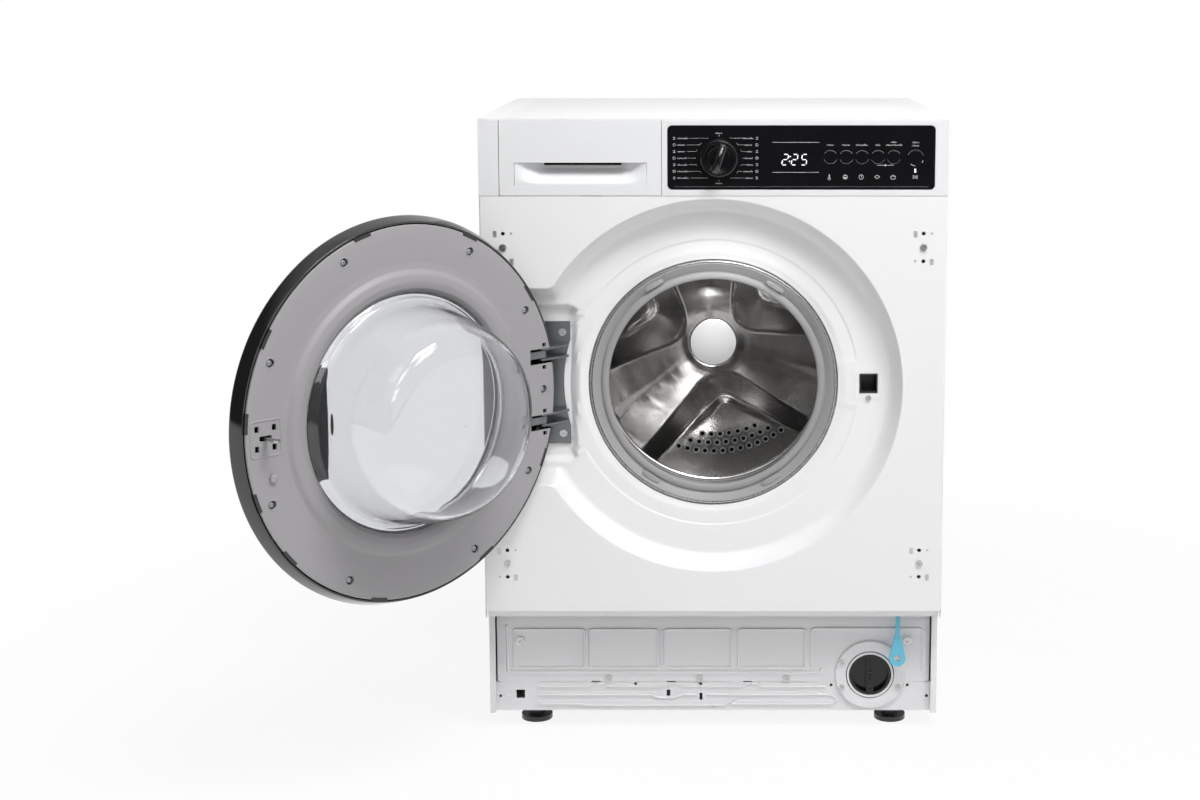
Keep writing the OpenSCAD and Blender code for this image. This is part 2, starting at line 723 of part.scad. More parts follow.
// Hinge bracket: plate on the pocket's floor, two pairs of lugs and their pins
module hinge_bracket() {
  y1 = y_front + pocket_d;
  y0 = y1 - bracket_t;
  color("dimgray") {
    difference() {
      box([hinge_x + 2, y0, drum_z - bracket_h / 2], [bracket_x1, y1, drum_z + bracket_h / 2]);
      rod_y(0, drum_z, -bracket_x1 + 8.5, y0 - 1, y1 + 1);
      for (s = [-1, 1])
        rod_y(bracket_screw_x, drum_z + s * bracket_screw_dz, 2.5 + run, y0 - 1, y1 + 1);
    }
    for (s = [-1, 1], e = [-1, 1]) {
      z = drum_z + s * arm_z + e * (arm_h / 2 + lug_gap + lug_t / 2);
      translate([0, 0, z - lug_t / 2]) {
        linear_extrude(lug_t)
          polygon([[hinge_x - 3.8, y_hinge + 4.6], [hinge_x + 3.8, y_hinge - 4.6],
                   [bracket_x1 - 2, y0 - 3], [bracket_x1 - 2, y0 + 0.5], [bracket_x1 - 19, y0 + 0.5]]);
        translate([hinge_x, y_hinge, 0]) cylinder(h = lug_t, r = hinge_pin_r + 3);
      }
    }
    for (s = [-1, 1])
      translate([hinge_x, y_hinge, drum_z + s * arm_z - arm_h / 2 - lug_gap - lug_t - 1])
        cylinder(h = arm_h + 2 * (lug_gap + lug_t + 1), r = hinge_pin_r);
  }
}

// Door lock: a housing behind the panel with a funnel for the hook
module door_lock() {
  y0 = y_front + ring_d + sheet_t + gap;
  color([0.08, 0.08, 0.085]) difference() {
    union() {
      box([lock_x - 18, y0, drum_z - 52], [lock_x + 18, y0 + lock_depth, drum_z + 30]);
      box([lock_x - lock_w / 2 + gap, y_front + recess_floor - 1, drum_z - lock_h / 2 + gap],
          [lock_x + lock_w / 2 - gap, y0 + 1, drum_z + lock_h / 2 - gap]);
    }
    box([lock_x - lock_w / 2 + 2, y0 - 8, drum_z - lock_h / 2 + 2],
        [lock_x + lock_w / 2 - 2, y0 + lock_depth - 8, drum_z + lock_h / 2 - 2]);
    rod_y(lock_x, drum_z - 19, 2 + run, y0 - 1, y0 + 12);
  }
}

// Screws: pan head in front of the plane y, shank behind it
module screw(x, z, y, head_r, shank_r, l) {
  difference() {
    union() {
      rod_y(x, z, head_r, y - 2, y);
      rod_y(x, z, head_r * 0.8, y - 2.6, y - 2);
      rod_y(x, z, shank_r, y, y + l);
    }
    translate([x, 0, z]) slab(y - 3, y - 1.2) {
      square([head_r, 0.9], center = true);
      square([0.9, head_r], center = true);
    }
  }
}
filter_screw_dx = 37.5;
filter_screw_dz = 17;
module panel_screws() {
  y_sheet = y_kick - sheet_t;
  color("silver") {
    for (sx = [-1, 1], z = [group_z_low, group_z_top])
      screw(sx * group_x, z, y_front, 4.5, 2.5, 8);
    for (s = [-1, 1])
      screw(bracket_screw_x, drum_z + s * bracket_screw_dz,
          y_front + pocket_d - bracket_t, 5, 2.5, bracket_t + 6);
    screw(lock_x, drum_z - 19, y_front + recess_floor, 3.7, 2, 12);
    for (x = [-258, 259]) screw(x, 121, y_sheet, 6, 3, 10);
    for (x = kick_screw_x) screw(x, kick_screw_z, y_sheet, 4.6, 2.2, 10);
    for (sx = [-1, 1], sz = [-1, 1])
      screw(filter_x + sx * filter_screw_dx, filter_z + sz * filter_screw_dz, y_sheet - dome_d, 3.6, 1.8, 9);
  }
}

// Reinforcing plates behind the furniture hinge holes
plate_w = 40;
plate_h = 62;
plate_t = 2;
module furniture_hinge_plates() {
  color("silver") for (sx = [-1, 1], z = [group_z_low, group_z_top])
    difference() {
      box([sx * group_x - plate_w / 2, y_front + sheet_t, z - plate_h / 2],
          [sx * group_x + plate_w / 2, y_front + sheet_t + plate_t, z + plate_h / 2]);
      for (dz = [-group_dz, group_dz]) rod_y(sx * group_x, z + dz, hole_big_r, y_front, y_front + 4);
      rod_y(sx * group_x, z, 2.5 + run, y_front, y_front + 4);
    }
}

// Drain pump with the filter's tube and the inlet pipe from the tub's sump
pump_top = 110;
filter_y0 = y_kick - sheet_t - dome_d + 1;
tube_r = filter_r + 3.4;
tube_l = 118;
module drain_pump() {
  y1 = filter_y0 + tube_l;
  color([0.6, 0.6, 0.6]) difference() {
    union() {
      rod_y(filter_x, filter_z, tube_r, filter_y0 - 2, y1);
      rod_y(filter_x, filter_z, tube_r - 4, y1 - 1, y1 + 50);
      rod_y(filter_x, filter_z, tube_r - 9, y1 + 49, y1 + 78);
      translate([sump_x, sump_y, filter_z]) rotate([0, 90, 0]) cylinder(h = filter_x - sump_x - 20, r = 13);
      translate([sump_x, sump_y, filter_z - 13]) cylinder(h = pump_top - filter_z + 13, r = 17);
      box([filter_x - 20, y1 - 20, foot_gap + sheet_t], [filter_x + 20, y1 + 30, filter_z - 20]);
    }
    rod_y(filter_x, filter_z, filter_r + 0.6, filter_y0 - 3, y1 - 5);
    translate([sump_x, sump_y, filter_z]) cylinder(h = pump_top, r = 14);
  }
}

// Filter cap with a slotted grip bar, turning on the basket's pin
module filter_cap() {
  y = filter_y0;
  color([0.06, 0.06, 0.06]) difference() {
    union() {
      difference() {
        rod_y(filter_x, filter_z, filter_r, y, y + 18);
        rod_y(filter_x, filter_z, filter_r - 3, y - 1, y + 9);
      }
      box([filter_x - 5, y + 1, filter_z - filter_r + 2], [filter_x + 5, y + 10, filter_z + filter_r - 2]);
    }
    for (i = [-3:3])
      box([filter_x - 2.2, y - 1, filter_z + i * 6 - 1.8], [filter_x + 2.2, y + 4, filter_z + i * 6 + 1.8]);
    rod_y(filter_x, filter_z, 4 + run, y + 12, y + 19);
  }
}
module filter_basket() {
  y = filter_y0 + 18 + gap;
  l = 80;
  r = filter_r - 4;
  color([0.25, 0.25, 0.25]) {
    difference() {
      rod_y(filter_x, filter_z, r, y, y + l);
      rod_y(filter_x, filter_z, r - 2, y + 3, y + l + 1);
      for (i = [0:5], a = [0:60:120])
        translate([filter_x, y + 12 + i * 11, filter_z]) rotate([0, a, 0])
            cube([9, 5, 2 * r + 2], center = true);
    }
    rod_y(filter_x, filter_z, 4, y - 5, y + 1);
  }
}

// Emergency release pull hanging from a guide tab of the front panel
pull_x = 244;
pull_z = 104;
pull_y = y_front + 27;
pull_t = 3;
pull_r = 11;
pull_hole_r = 4.7;
stem_w = 6;
pull_travel = 10;
module pull_guide() {
  difference() {
    box([pull_x - 12, y_front + rail_inset - 1, plinth_h], [pull_x + 12, pull_y + 8, plinth_h + sheet_t]);
    box([pull_x - stem_w / 2 - gap, pull_y - pull_t / 2 - gap, plinth_h - 1],
        [pull_x + stem_w / 2 + gap, pull_y + pull_t / 2 + gap, plinth_h + sheet_t + 1]);
  }
}
module release_pull() {
  color([0.45, 0.75, 0.9]) difference() {
    translate([0, pull_y, 0]) slab(-pull_t / 2, pull_t / 2) {
      translate([pull_x, pull_z]) circle(pull_r);
      polygon([[pull_x - pull_r * 0.93, pull_z + 4], [pull_x + pull_r * 0.93, pull_z + 4],
               [pull_x + stem_w / 2, pull_z + 34],
               [pull_x + stem_w / 2, plinth_h + sheet_t + pull_travel + 5],
               [pull_x - stem_w / 2, plinth_h + sheet_t + pull_travel + 5],
               [pull_x - stem_w / 2, pull_z + 34]]);
      translate([pull_x - stem_w / 2 - 2, plinth_h - gap - 4]) square([stem_w + 4, 4]);
    }
    translate([0, pull_y, 0]) slab(-pull_t, pull_t) translate([pull_x, pull_z]) circle(pull_hole_r);
  }
}

// Drain outlet and mains inlet gland on the back
module rear_fittings() {
  y = y_rear + sheet_t;
  color([0.2, 0.2, 0.2]) {
    difference() {
      union() {
        rod_y(outlet_x, outlet_z, outlet_r, y_rear - 25, y + 10);
        rod_y(outlet_x, outlet_z, outlet_r + 6, y_rear - 3, y_rear);
      }
      rod_y(outlet_x, outlet_z, outlet_r - 2.5, y_rear - 26, y + 11);
    }
    difference() {
      union() {
        rod_y(gland_x, gland_z, gland_r, y_rear - 12, y + 8);
        rod_y(gland_x, gland_z, gland_r + 4, y_rear - 3, y_rear);
      }
      rod_y(gland_x, gland_z, 4.2, y_rear - 13, y + 9);
    }
  }
}

// Suspension springs between the side brackets and the tub's lugs
module suspension_springs() {
  color("silver") for (s = [-1, 1])
    translate([s * spring_x, spring_y, spring_z0 + gap]) difference() {
      cylinder(h = spring_z1 - spring_z0 - 2 * gap, r = spring_r);
      translate([0, 0, -1]) cylinder(h = spring_z1 - spring_z0 + 2, r = spring_r - 2.5);
    }
}
module damper_cylinders() {
  z0 = foot_gap + 6;
  color("dimgray") for (s = [-1, 1])
    translate([s * damper_x, damper_y, 0]) difference() {
      translate([0, 0, z0]) cylinder(h = damper_top - z0, r = damper_r);
      translate([0, 0, z0 + 40]) cylinder(h = damper_top - z0, r = rod_r + run);
    }
}
module damper_rods() {
  color("silver") for (s = [-1, 1])
    translate([s * damper_x, damper_y, foot_gap + 62]) cylinder(h = rod_top - foot_gap - 62, r = rod_r);
}

// Tub, front half: neck for the seal, front wall and shell
tub_stub_z = drum_z + 216;
outlet_stub_z = drum_z + sqrt(tub_r * tub_r - outlet_stub_x * outlet_stub_x) - 15;
sump_stub_top = drum_z - sqrt(tub_r * tub_r - sump_x * sump_x) + 9;
module tub_inside() { rod_y(0, drum_z, tub_r - tub_t, y_tub0 + tub_t, y_tub1 - tub_t); }
heater_r = 4.5;
heater_dx = 16;
heater_dz = tub_r - 11;
module tub_front() {
  color("lightgray") difference() {
    union() {
      turn_y(0, drum_z)
        polygon([[tub_neck_r, y_neck0], [tub_neck_r + 3, y_neck0], [tub_neck_r + 3, y_tub0],
                 [tub_r - 4, y_tub0],
                 [tub_r, y_tub0 + 6], [tub_r, y_tub_split - 8], [flange_r, y_tub_split - 6],
                 [flange_r, y_tub_split], [tub_r - tub_t, y_tub_split], [tub_r - tub_t, y_tub0 + tub_t],
                 [tub_neck_r, y_tub0 + tub_t]]);
      for (s = [-1, 1])
        box([s > 0 ? lug_x0 : -spring_x - 10, spring_y - 9, spring_z0 - 14],
            [s > 0 ? spring_x + 10 : -lug_x0, spring_y + 9, spring_z0]);
      translate([outlet_stub_x, housing_y1 - 30, outlet_stub_z])
        cylinder(h = tub_stub_z - outlet_stub_z, r = outlet_stub_r);
      translate([sump_x, sump_y, sump_z0]) cylinder(h = sump_stub_top - sump_z0, r = 18);
    }
    tub_inside();
    translate([outlet_stub_x, housing_y1 - 30, outlet_stub_z - 5]) cylinder(h = 60, r = outlet_stub_r - 2);
    translate([sump_x, sump_y, sump_z0 - 1]) cylinder(h = 70, r = 15);
    for (s = [-1, 1])
      rod_y(s * heater_dx, drum_z - heater_dz, heater_r + run, y_tub0 - 1, y_tub0 + tub_t + 1);
  }
}

// Tub, rear half: shell, back wall with the bearing hub, damper lugs and motor bracket
module tub_rear() {
  color("lightgray") difference() {
    union() {
      turn_y(0, drum_z)
        polygon([[tub_r - tub_t, y_tub_split], [flange_r, y_tub_split], [flange_r, y_tub_split + 6],
                 [tub_r, y_tub_split + 8], [tub_r, y_tub1 - 6], [tub_r - 4, y_tub1], [hub_r, y_tub1],
                 [hub_r, y_tub1 + 10], [bearing_r + run, y_tub1 + 10], [bearing_r + run, y_tub1 - 30],
                 [hub_r, y_tub1 - 30], [hub_r, y_tub1 - tub_t], [tub_r - tub_t, y_tub1 - tub_t]]);
      difference() {
        union() {
          for (s = [-1, 1])
            box([s * damper_x - 15, damper_y - 10, rod_top],
                [s * damper_x + 15, damper_y + 10, rod_top + 30]);
          box([motor_x - 20, y_tub1 - 70, motor_z + motor_r - 12],
              [motor_x + 20, y_tub1 - 20, drum_z - sqrt(tub_r * tub_r - motor_x * motor_x) + 19.4]);
        }
        tub_inside();
        rod_y(motor_x, motor_z, motor_r + gap, y_tub1 - 100, y_tub1 + 20);
      }
    }
  }
}

// Counterweights: a block on top of the tub and a ring segment on its front wall
weight_z1 = drum_z + tub_r + 50;
module counterweights() {
  color([0.62, 0.61, 0.6]) {
    difference() {
      box([-30, y_front + 180, weight_z1 - 132], [200, y_front + 370, weight_z1]);
      rod_y(0, drum_z, tub_r + gap, y_front + 170, y_front + 380);
      rod_y(0, drum_z, flange_r + gap, y_tub_split - 9, y_tub_split + 9);
    }
    difference() {
      turn_y(0, drum_z)
        polygon([[tub_neck_r + 14, y_weight0], [tub_r - 12, y_weight0], [tub_r - 12, y_tub0 - gap],
                 [tub_neck_r + 14, y_tub0 - gap]]);
      box([-75, y_weight0 - 1, drum_z - tub_r], [75, y_tub0, drum_z - 150]);
    }
  }
}

// Heater: two rods joined at their end, held by a plate on the tub's front wall
module heater() {
  z = drum_z - heater_dz;
  y1 = y_tub0 + 150;
  color("silver") {
    for (s = [-1, 1]) rod_y(s * heater_dx, z, heater_r, y_tub0 - 10, y1);
    box([-heater_dx, y1 - 9, z - heater_r], [heater_dx, y1, z + heater_r]);
    difference() {
      box([-30, y_tub0 - 5, z - 9], [30, y_tub0, z + 12]);
      for (s = [-1, 1]) rod_y(s * heater_dx, z, heater_r - 1, y_tub0 - 6, y_tub0 + 1);
    }
  }
}
module drum_bearings() {
  color("silver") for (p = [[-30, -22], [-20, -6], [-4, 8]])
    turn_y(0, drum_z) translate([shaft_r + run, y_tub1 + p[0]])
      square([bearing_r - shaft_r - run, p[1] - p[0]]);
}
rotor_r = 6;
module motor_housing() {
  y1 = y_pulley0 - 10;
  color("silver") difference() {
    union() {
      rod_y(motor_x, motor_z, motor_r, y1 - motor_l + 15, y1 - 15);
      rod_y(motor_x, motor_z, motor_r - 12, y1 - motor_l, y1);
    }
    rod_y(motor_x, motor_z, rotor_r + run, y1 - 30, y1 + 1);
  }
}
module motor_pulley() {
  color("dimgray") {
    rod_y(motor_x, motor_z, motor_pulley_r, y_pulley0, y_pulley0 + pulley_w);
    rod_y(motor_x, motor_z, rotor_r, y_pulley0 - 38, y_pulley0 + 1);
  }
}
belt_t = 3;
module belt_outline(g) {
  hull() {
    translate([0, drum_z]) circle(pulley_r + g, $fn = 96);
    translate([motor_x, motor_z]) circle(motor_pulley_r + g, $fn = 48);
  }
}
module drive_belt() {
  color([0.12, 0.12, 0.12]) slab(y_pulley0 + 1, y_pulley0 + pulley_w - 1) difference() {
    belt_outline(gap + belt_t);
    belt_outline(gap + 0.1);
  }
}

// Drum: perforated wall with its rolled mouth
drum_t = 1;
mouth_r = 147;
rim_r = 3.5;
module drum_wall() {
  color("silver") {
    turn_y(0, drum_z)
      polygon([[mouth_r, y_drum0], [drum_r - 3, y_drum0], [drum_r, y_drum0 + 3], [drum_r, y_drum1],
               [drum_r - drum_t, y_drum1], [drum_r - drum_t, y_drum0 + 3.5], [drum_r - 3.5, y_drum0 + drum_t],
               [mouth_r, y_drum0 + drum_t]]);
    turn_y(0, drum_z) translate([mouth_r, y_drum0]) circle(rim_r, $fn = 24);
  }
}

// Outline of one pressed pocket of the drum's back, pointing along +X
apex_x = 88;
apex_r = 24;
module pocket_outline(g) {
  r = apex_r + g;
  c = cos(pocket_half);
  s = sin(pocket_half);
  l = 240;
  intersection() {
    circle(drum_r - 12 + g, $fn = 128);
    union() {
      translate([apex_x, 0]) circle(r);
      polygon([[apex_x - r * s, r * c], [apex_x - r * s + l * c, r * c + l * s],
               [apex_x - r * s + l * c, -r * c - l * s], [apex_x - r * s, -r * c]]);
    }
  }
}
module each_pocket() {
  for (i = [0:2]) translate([0, 0, drum_z]) rotate([0, -(drum_angle + i * 120), 0]) children();
}

// Profile of the drum's raised back: hub, arms and rim, at a depth d behind its front skin
function crown(d) = [[0, y_hub + d], [35, y_hub + d], [48, y_hub + 12 + d], [80, y_hub + 26 + d],
                     [140, y_hub + 40 + d], [drum_r - drum_t - gap, y_drum1 - 12 + d]];
back_t = 1.5;
hole_rows = [[151, 7], [164, 10], [177, 13]];
hole_pitch = 13.4;
drain_hole_r = 3.4;
module drum_back() {
  r1 = drum_r - drum_t - gap;
  color("silver") {
    difference() {
      turn_y(0, drum_z) polygon(concat(crown(0),
        [[r1, y_drum1], [r1 - back_t, y_drum1], [r1 - back_t, y_drum1 - 12 + back_t],
         [140, y_hub + 40 + back_t], [80, y_hub + 26 + back_t], [48, y_hub + 12 + back_t],
         [35, y_hub + back_t], [0, y_hub + back_t]]));
      each_pocket() slab(y_hub - 1, y_drum1 + 5) pocket_outline(0);
    }
    each_pocket() intersection() {
      slab(y_hub, y_drum1) difference() {
        pocket_outline(0);
        pocket_outline(-back_t);
      }
      turn_y(0, 0) polygon(concat(crown(0), [[drum_r - drum_t - gap, y_drum1 + 1], [0, y_drum1 + 1]]));
    }
    each_pocket() difference() {
      slab(y_drum1 - back_t, y_drum1) pocket_outline(0);
      for (row = hole_rows, k = [0:12])
        if (k < row[1])
          rotate([0, (k - (row[1] - 1) / 2) * hole_pitch / row[0] * 180 / PI, 0])
            rod_y(row[0], 0, drain_hole_r, y_drum1 - 3, y_drum1 + 1);
    }
  }
}
lifter_angles = [99, 219, 339];
lifter_wall = 3;
module lifter_outline(t) {
  x0 = drum_r - lifter_h + t;
  polygon([[x0, t - 9], [drum_r + 2, t - 32], [drum_r + 2, 32 - t], [x0, 9 - t]]);
}
module drum_lifters() {
  r1 = drum_r - drum_t - gap;
  y0 = y_drum0 + 20;
  y1 = y_drum1 - 26;
  color("silver") for (a = lifter_angles)
    translate([0, 0, drum_z]) rotate([0, -a, 0]) intersection() {
      rod_y(0, 0, r1, y0, y1);
      difference() {
        slab(y0, y1) lifter_outline(0);
        slab(y0 + lifter_wall, y1 - lifter_wall) lifter_outline(lifter_wall);
      }
    }
}

// Spider: three arms behind the drum's back, with the shaft
module drum_spider() {
  y0 = y_drum1 + gap;
  color([0.7, 0.7, 0.7]) {
    for (a = lifter_angles)
      translate([0, 0, drum_z]) rotate([0, -a, 0])
        slab(y0, y0 + 20) polygon([[22, -23], [drum_r, -13], [drum_r, 13], [22, 23]]);
    turn_y(0, drum_z)
      polygon([[0, y0 + 2], [38, y0 + 2], [38, y0 + 25], [shaft_r, y0 + 25],
               [shaft_r, y_pulley0 + pulley_w + 5], [0, y_pulley0 + pulley_w + 5]]);
  }
}
module drum_pulley() {
  y1 = y_pulley0 + pulley_w;
  color([0.7, 0.7, 0.7]) difference() {
    union() {
      turn_y(0, drum_z) translate([pulley_r - 6, y_pulley0]) square([6, pulley_w]);
      turn_y(0, drum_z) translate([shaft_r + run, y_pulley0 - 4]) square([16, pulley_w + 4]);
      turn_y(0, drum_z) translate([shaft_r + 10, y_pulley0 + 4]) square([pulley_r - shaft_r - 13, 4]);
    }
    for (i = [0:5])
      translate([0, 0, drum_z]) rotate([0, i * 60, 0])
        rod_y((pulley_r + shaft_r) / 2 + 4, 0, 28, y_pulley0 - 1, y1 + 1);
  }
}

// Door planes when closed, and the pieces of the door drawn closed and then turned open
y_out = y_front - door_proud;
y_in = y_out + door_t;
cover_t = 3;
cover_taper = 7;
module arm_slots() {
  for (s = [-1, 1])
    box([hinge_x - 40, y_hinge - 8, drum_z + s * arm_z - slot_half],
        [hinge_x + 31, y_in + 20, drum_z + s * arm_z + slot_half]);
}
slot_half = arm_h / 2 + lug_gap + lug_t + 1.5;
module door_cover() {
  r0 = window_r + cover_t;
  color([0.03, 0.03, 0.035]) on_open_door() difference() {
    turn_y(0, drum_z)
      polygon([[r0, y_out], [door_r - 12, y_out], [door_r - 4, y_out + 3.5], [door_r, y_out + 10],
               [door_r - cover_taper, y_in - 2], [door_r - cover_taper - cover_t, y_in - 2],
               [door_r - cover_t, y_out + 10], [door_r - 4 - cover_t, y_out + 6],
               [door_r - 13, y_out + cover_t], [r0 + cover_t, y_out + cover_t],
               [r0 + cover_t, y_out + 6], [r0, y_out + 6]]);
    arm_slots();
  }
}
module door_window() {
  color([0.8, 0.85, 0.87, 0.4]) on_open_door()
    rod_y(0, drum_z, window_r + cover_t - gap, y_out, y_out + cover_t);
}
ridge_h = 6;
screw_angles = [24, 65, 117, 150, 180, -151, -117, -64, -22];
module at_screws(y) {
  for (a = screw_angles)
    translate([door_screw_pcr * cos(a), y, drum_z + door_screw_pcr * sin(a)]) rotate([-90, 0, 0]) children();
}
hook_slot_x = 8;
hook_slot_z = 3;
module door_frame() {
  r = window_r;
  rf = door_r - cover_taper - cover_t - 0.5;
  color([0.6, 0.6, 0.6]) on_open_door() {
    difference() {
      union() {
        turn_y(0, drum_z)
          polygon([[r + gap, y_in - 5], [r + gap, y_in + ridge_h - 4], [r + 4, y_in + ridge_h],
                   [r + 19, y_in + ridge_h], [r + 27, y_in], [rf, y_in], [rf, y_in - cover_t],
                   [r + 25, y_in - cover_t],
                   [r + 18, y_in + ridge_h - 3], [r + 9, y_in + ridge_h - 3], [r + 6, y_in],
                   [r + 6, y_out + 6],
                   [r + cover_t + gap, y_out + 6], [r + cover_t + gap, y_in - 8],
                   [r - 4, y_in - 8], [r - 4, y_in - 5]]);
        at_screws(y_in - 14) cylinder(h = 13, r = 6.5);
      }
      at_screws(y_in - 4) cylinder(h = 6, r = 4.7);
      at_screws(y_in - 13) cylinder(h = 12, r = 1.6);
      arm_slots();
      box([hook_x - hook_slot_x, y_in - 5, drum_z - hook_slot_z],
          [hook_x + hook_slot_x, y_in + 1, drum_z + hook_slot_z]);
      for (sx = [-1, 1], sz = [-1, 1])
        box([hook_x + sx * 12 - 3, y_in - 5, drum_z + sz * 12 - 4],
            [hook_x + sx * 12 + 3, y_in + 1, drum_z + sz * 12 + 4]);
    }
    for (s = [-1, 1])
      box([hook_x - 4, y_in - 11, drum_z + s * 6 - 1.5],
          [hook_x + 4, y_in - cover_t + 0.5, drum_z + s * 6 + 1.5]);
    translate([hook_x, y_hook, drum_z - 7]) cylinder(h = 14, r = hook_pin_r);
    rod_y(hook_x - 8, drum_z - 48, 4, y_in - 1, y_in + 3);
  }
}
hook_pin_r = 1.5;
y_hook = y_in - 7;
hook_tip = 26;
module door_hook() {
  color("silver") on_open_door() difference() {
    translate([0, 0, drum_z - 1.5]) linear_extrude(3) union() {
      translate([hook_x, y_hook]) circle(3.5);
      polygon([[hook_x - 3, y_hook], [hook_x + 3, y_hook], [hook_x + 3, y_in + hook_tip - 8],
               [hook_x, y_in + hook_tip], [hook_x - 7, y_in + hook_tip - 6],
               [hook_x - 7, y_in + hook_tip - 9], [hook_x - 3, y_in + hook_tip - 10]]);
    }
    translate([hook_x, y_hook, drum_z - 3]) cylinder(h = 6, r = hook_pin_r + run);
  }
}

// Glass bowl: foot seated on the frame's ledge, waist inside the seal's lip, rounded end
module door_glass() {
  r = window_r;
  w = lip_r - 1.5;
  t = bowl_t;
  e = bowl_l;
  color([0.8, 0.86, 0.88, 0.4]) on_open_door() turn_y(0, drum_z)
    polygon([[r, y_in - 5], [r, y_in - 1.5], [r - 4, y_in + 1], [w + 3.5, y_in + 4], [w, y_in + 10],
             [w - 3.5, y_in + 0.26 * e], [w - 8.5, y_in + 0.49 * e], [w - 14.5, y_in + 0.72 * e],
             [w - 22, y_in + 0.89 * e], [w - 31, y_in + 0.965 * e], [w - 46, y_in + e],
             [0, y_in + e + 1.5],
             [0, y_in + e + 1.5 - t], [w - 47, y_in + e - t], [w - 33.5, y_in + 0.965 * e - t],
             [w - 26, y_in + 0.89 * e - 2], [w - 14.5 - t, y_in + 0.72 * e - 1],
             [w - 8.5 - t, y_in + 0.49 * e - 1],
             [w - 3.5 - t, y_in + 0.26 * e - 1], [w - t, y_in + 9], [w + 3.5 - t, y_in + 2],
             [r - 5 - t, y_in - 2],
             [r - 1.5 - t, y_in - 5]]);
}

// Hinge arms: two eyes on the bracket's pins, joined by a strip under the frame
module door_arms() {
  color("dimgray") on_open_door() {
    for (s = [-1, 1]) difference() {
      translate([0, 0, drum_z + s * arm_z - arm_h / 2]) union() {
        box([hinge_x, y_hinge - 4, 0], [hinge_x + 42, y_hinge + 5, arm_h]);
        translate([hinge_x, y_hinge, 0]) cylinder(h = arm_h, r = hinge_pin_r + 3);
      }
      translate([hinge_x, y_hinge, drum_z + s * arm_z - arm_h])
          cylinder(h = 2 * arm_h, r = hinge_pin_r + run);
    }
    box([hinge_x + 32, y_hinge + 2, drum_z - arm_z - 10],
        [hinge_x + 42, y_in - cover_t, drum_z + arm_z + 10]);
  }
}
module door_screws() {
  color("dimgray") on_open_door() {
    at_screws(y_in - 4) cylinder(h = 2.4, r = 4.2);
    at_screws(y_in - 12) cylinder(h = 8.5, r = 1.5);
  }
}

// Levelling foot: pad, lock nut and threaded stem
module foot(sx, sy) {
  color([0.15, 0.15, 0.15]) translate([sx * foot_x, sy * foot_y, 0]) {
    cylinder(h = 7, r = foot_r);
    cylinder(h = 14, r = 11, $fn = 6);
    cylinder(h = foot_gap + nut_h + 6, r = foot_stem_r);
  }
}
module foot_front_left() { foot(-1, -1); }
module foot_front_right() { foot(1, -1); }
module foot_rear_left() { foot(-1, 1); }
module foot_rear_right() { foot(1, 1); }

left_side_panel();
right_side_panel();
rear_panel();
rear_service_cover();
top_cover();
base_tray();
kick_plate();
front_panel();
control_fascia();
control_panel();
dispenser_housing();
inlet_valve();
tub_hoses();
door_seal();
seal_clamp();
hinge_bracket();
door_lock();
panel_screws();
furniture_hinge_plates();
drain_pump();
rear_fittings();
suspension_springs();
damper_cylinders();
tub_front();
tub_rear();
counterweights();
heater();
motor_housing();
drum_bearings();
damper_rods();
drive_belt();
drum_wall();
drum_back();
drum_lifters();
drum_spider();
drum_pulley();
motor_pulley();
door_cover();
door_window();
door_frame();
door_glass();
door_arms();
door_screws();
door_hook();
drawer_front();
drawer_tray();
programme_knob();
option_button_1();
option_button_2();
option_button_3();
option_button_4();
option_button_5();
start_button();
filter_cap();
filter_basket();
release_pull();
foot_front_left();
foot_front_right();
foot_rear_left();
foot_rear_right();
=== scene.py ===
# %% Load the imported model
import math

import bpy
import bmesh
import numpy as np
from mathutils import Matrix, Vector
from mathutils.geometry import delaunay_2d_cdt


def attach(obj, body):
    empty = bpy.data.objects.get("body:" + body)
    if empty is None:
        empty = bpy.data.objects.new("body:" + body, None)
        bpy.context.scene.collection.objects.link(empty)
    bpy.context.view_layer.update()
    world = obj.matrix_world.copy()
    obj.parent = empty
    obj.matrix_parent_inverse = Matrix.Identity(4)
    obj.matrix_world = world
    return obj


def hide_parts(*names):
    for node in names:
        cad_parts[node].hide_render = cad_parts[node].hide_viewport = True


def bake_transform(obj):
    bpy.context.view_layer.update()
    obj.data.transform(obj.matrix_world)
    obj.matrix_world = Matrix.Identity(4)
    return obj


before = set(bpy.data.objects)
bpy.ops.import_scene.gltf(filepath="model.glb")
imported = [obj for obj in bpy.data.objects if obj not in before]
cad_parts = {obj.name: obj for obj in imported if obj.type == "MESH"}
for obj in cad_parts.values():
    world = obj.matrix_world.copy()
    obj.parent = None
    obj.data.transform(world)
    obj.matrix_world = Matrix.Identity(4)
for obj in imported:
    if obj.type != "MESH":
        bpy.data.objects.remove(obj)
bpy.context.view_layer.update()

MM = 0.001

# %% [markdown]
# A built-in washing machine stands in front of us with its round door open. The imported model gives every
# piece its true place, so this lesson dresses those pieces. All sizes here are written in millimetres, as on
# a drawing, and turned into metres at the moment a mesh is made.

# %% Places shared by several pieces
FRONT = -270.0
HALF_W, TOP_Z = 298.0, 820.0
DRUM_Z = 474.0
HINGE_X, HINGE_Y = -220.6, -262.0
DOOR_TURN = math.radians(-135.0)
DOOR_OUT = FRONT - 6.0
DOOR_IN = DOOR_OUT + 28.0
KICK_Y = -220.0


def on_open_door(points):
    """Turn points drawn on the closed door to where they are when it stands open."""
    p = np.asarray(points, float).copy()
    u, w = p[:, 0] - HINGE_X, p[:, 1] - HINGE_Y
    c, s = math.cos(DOOR_TURN), math.sin(DOOR_TURN)
    p[:, 0] = HINGE_X + u * c - w * s
    p[:, 1] = HINGE_Y + u * s + w * c
    return p


print("The door's rim is", round(DOOR_IN - DOOR_OUT), "mm thick")

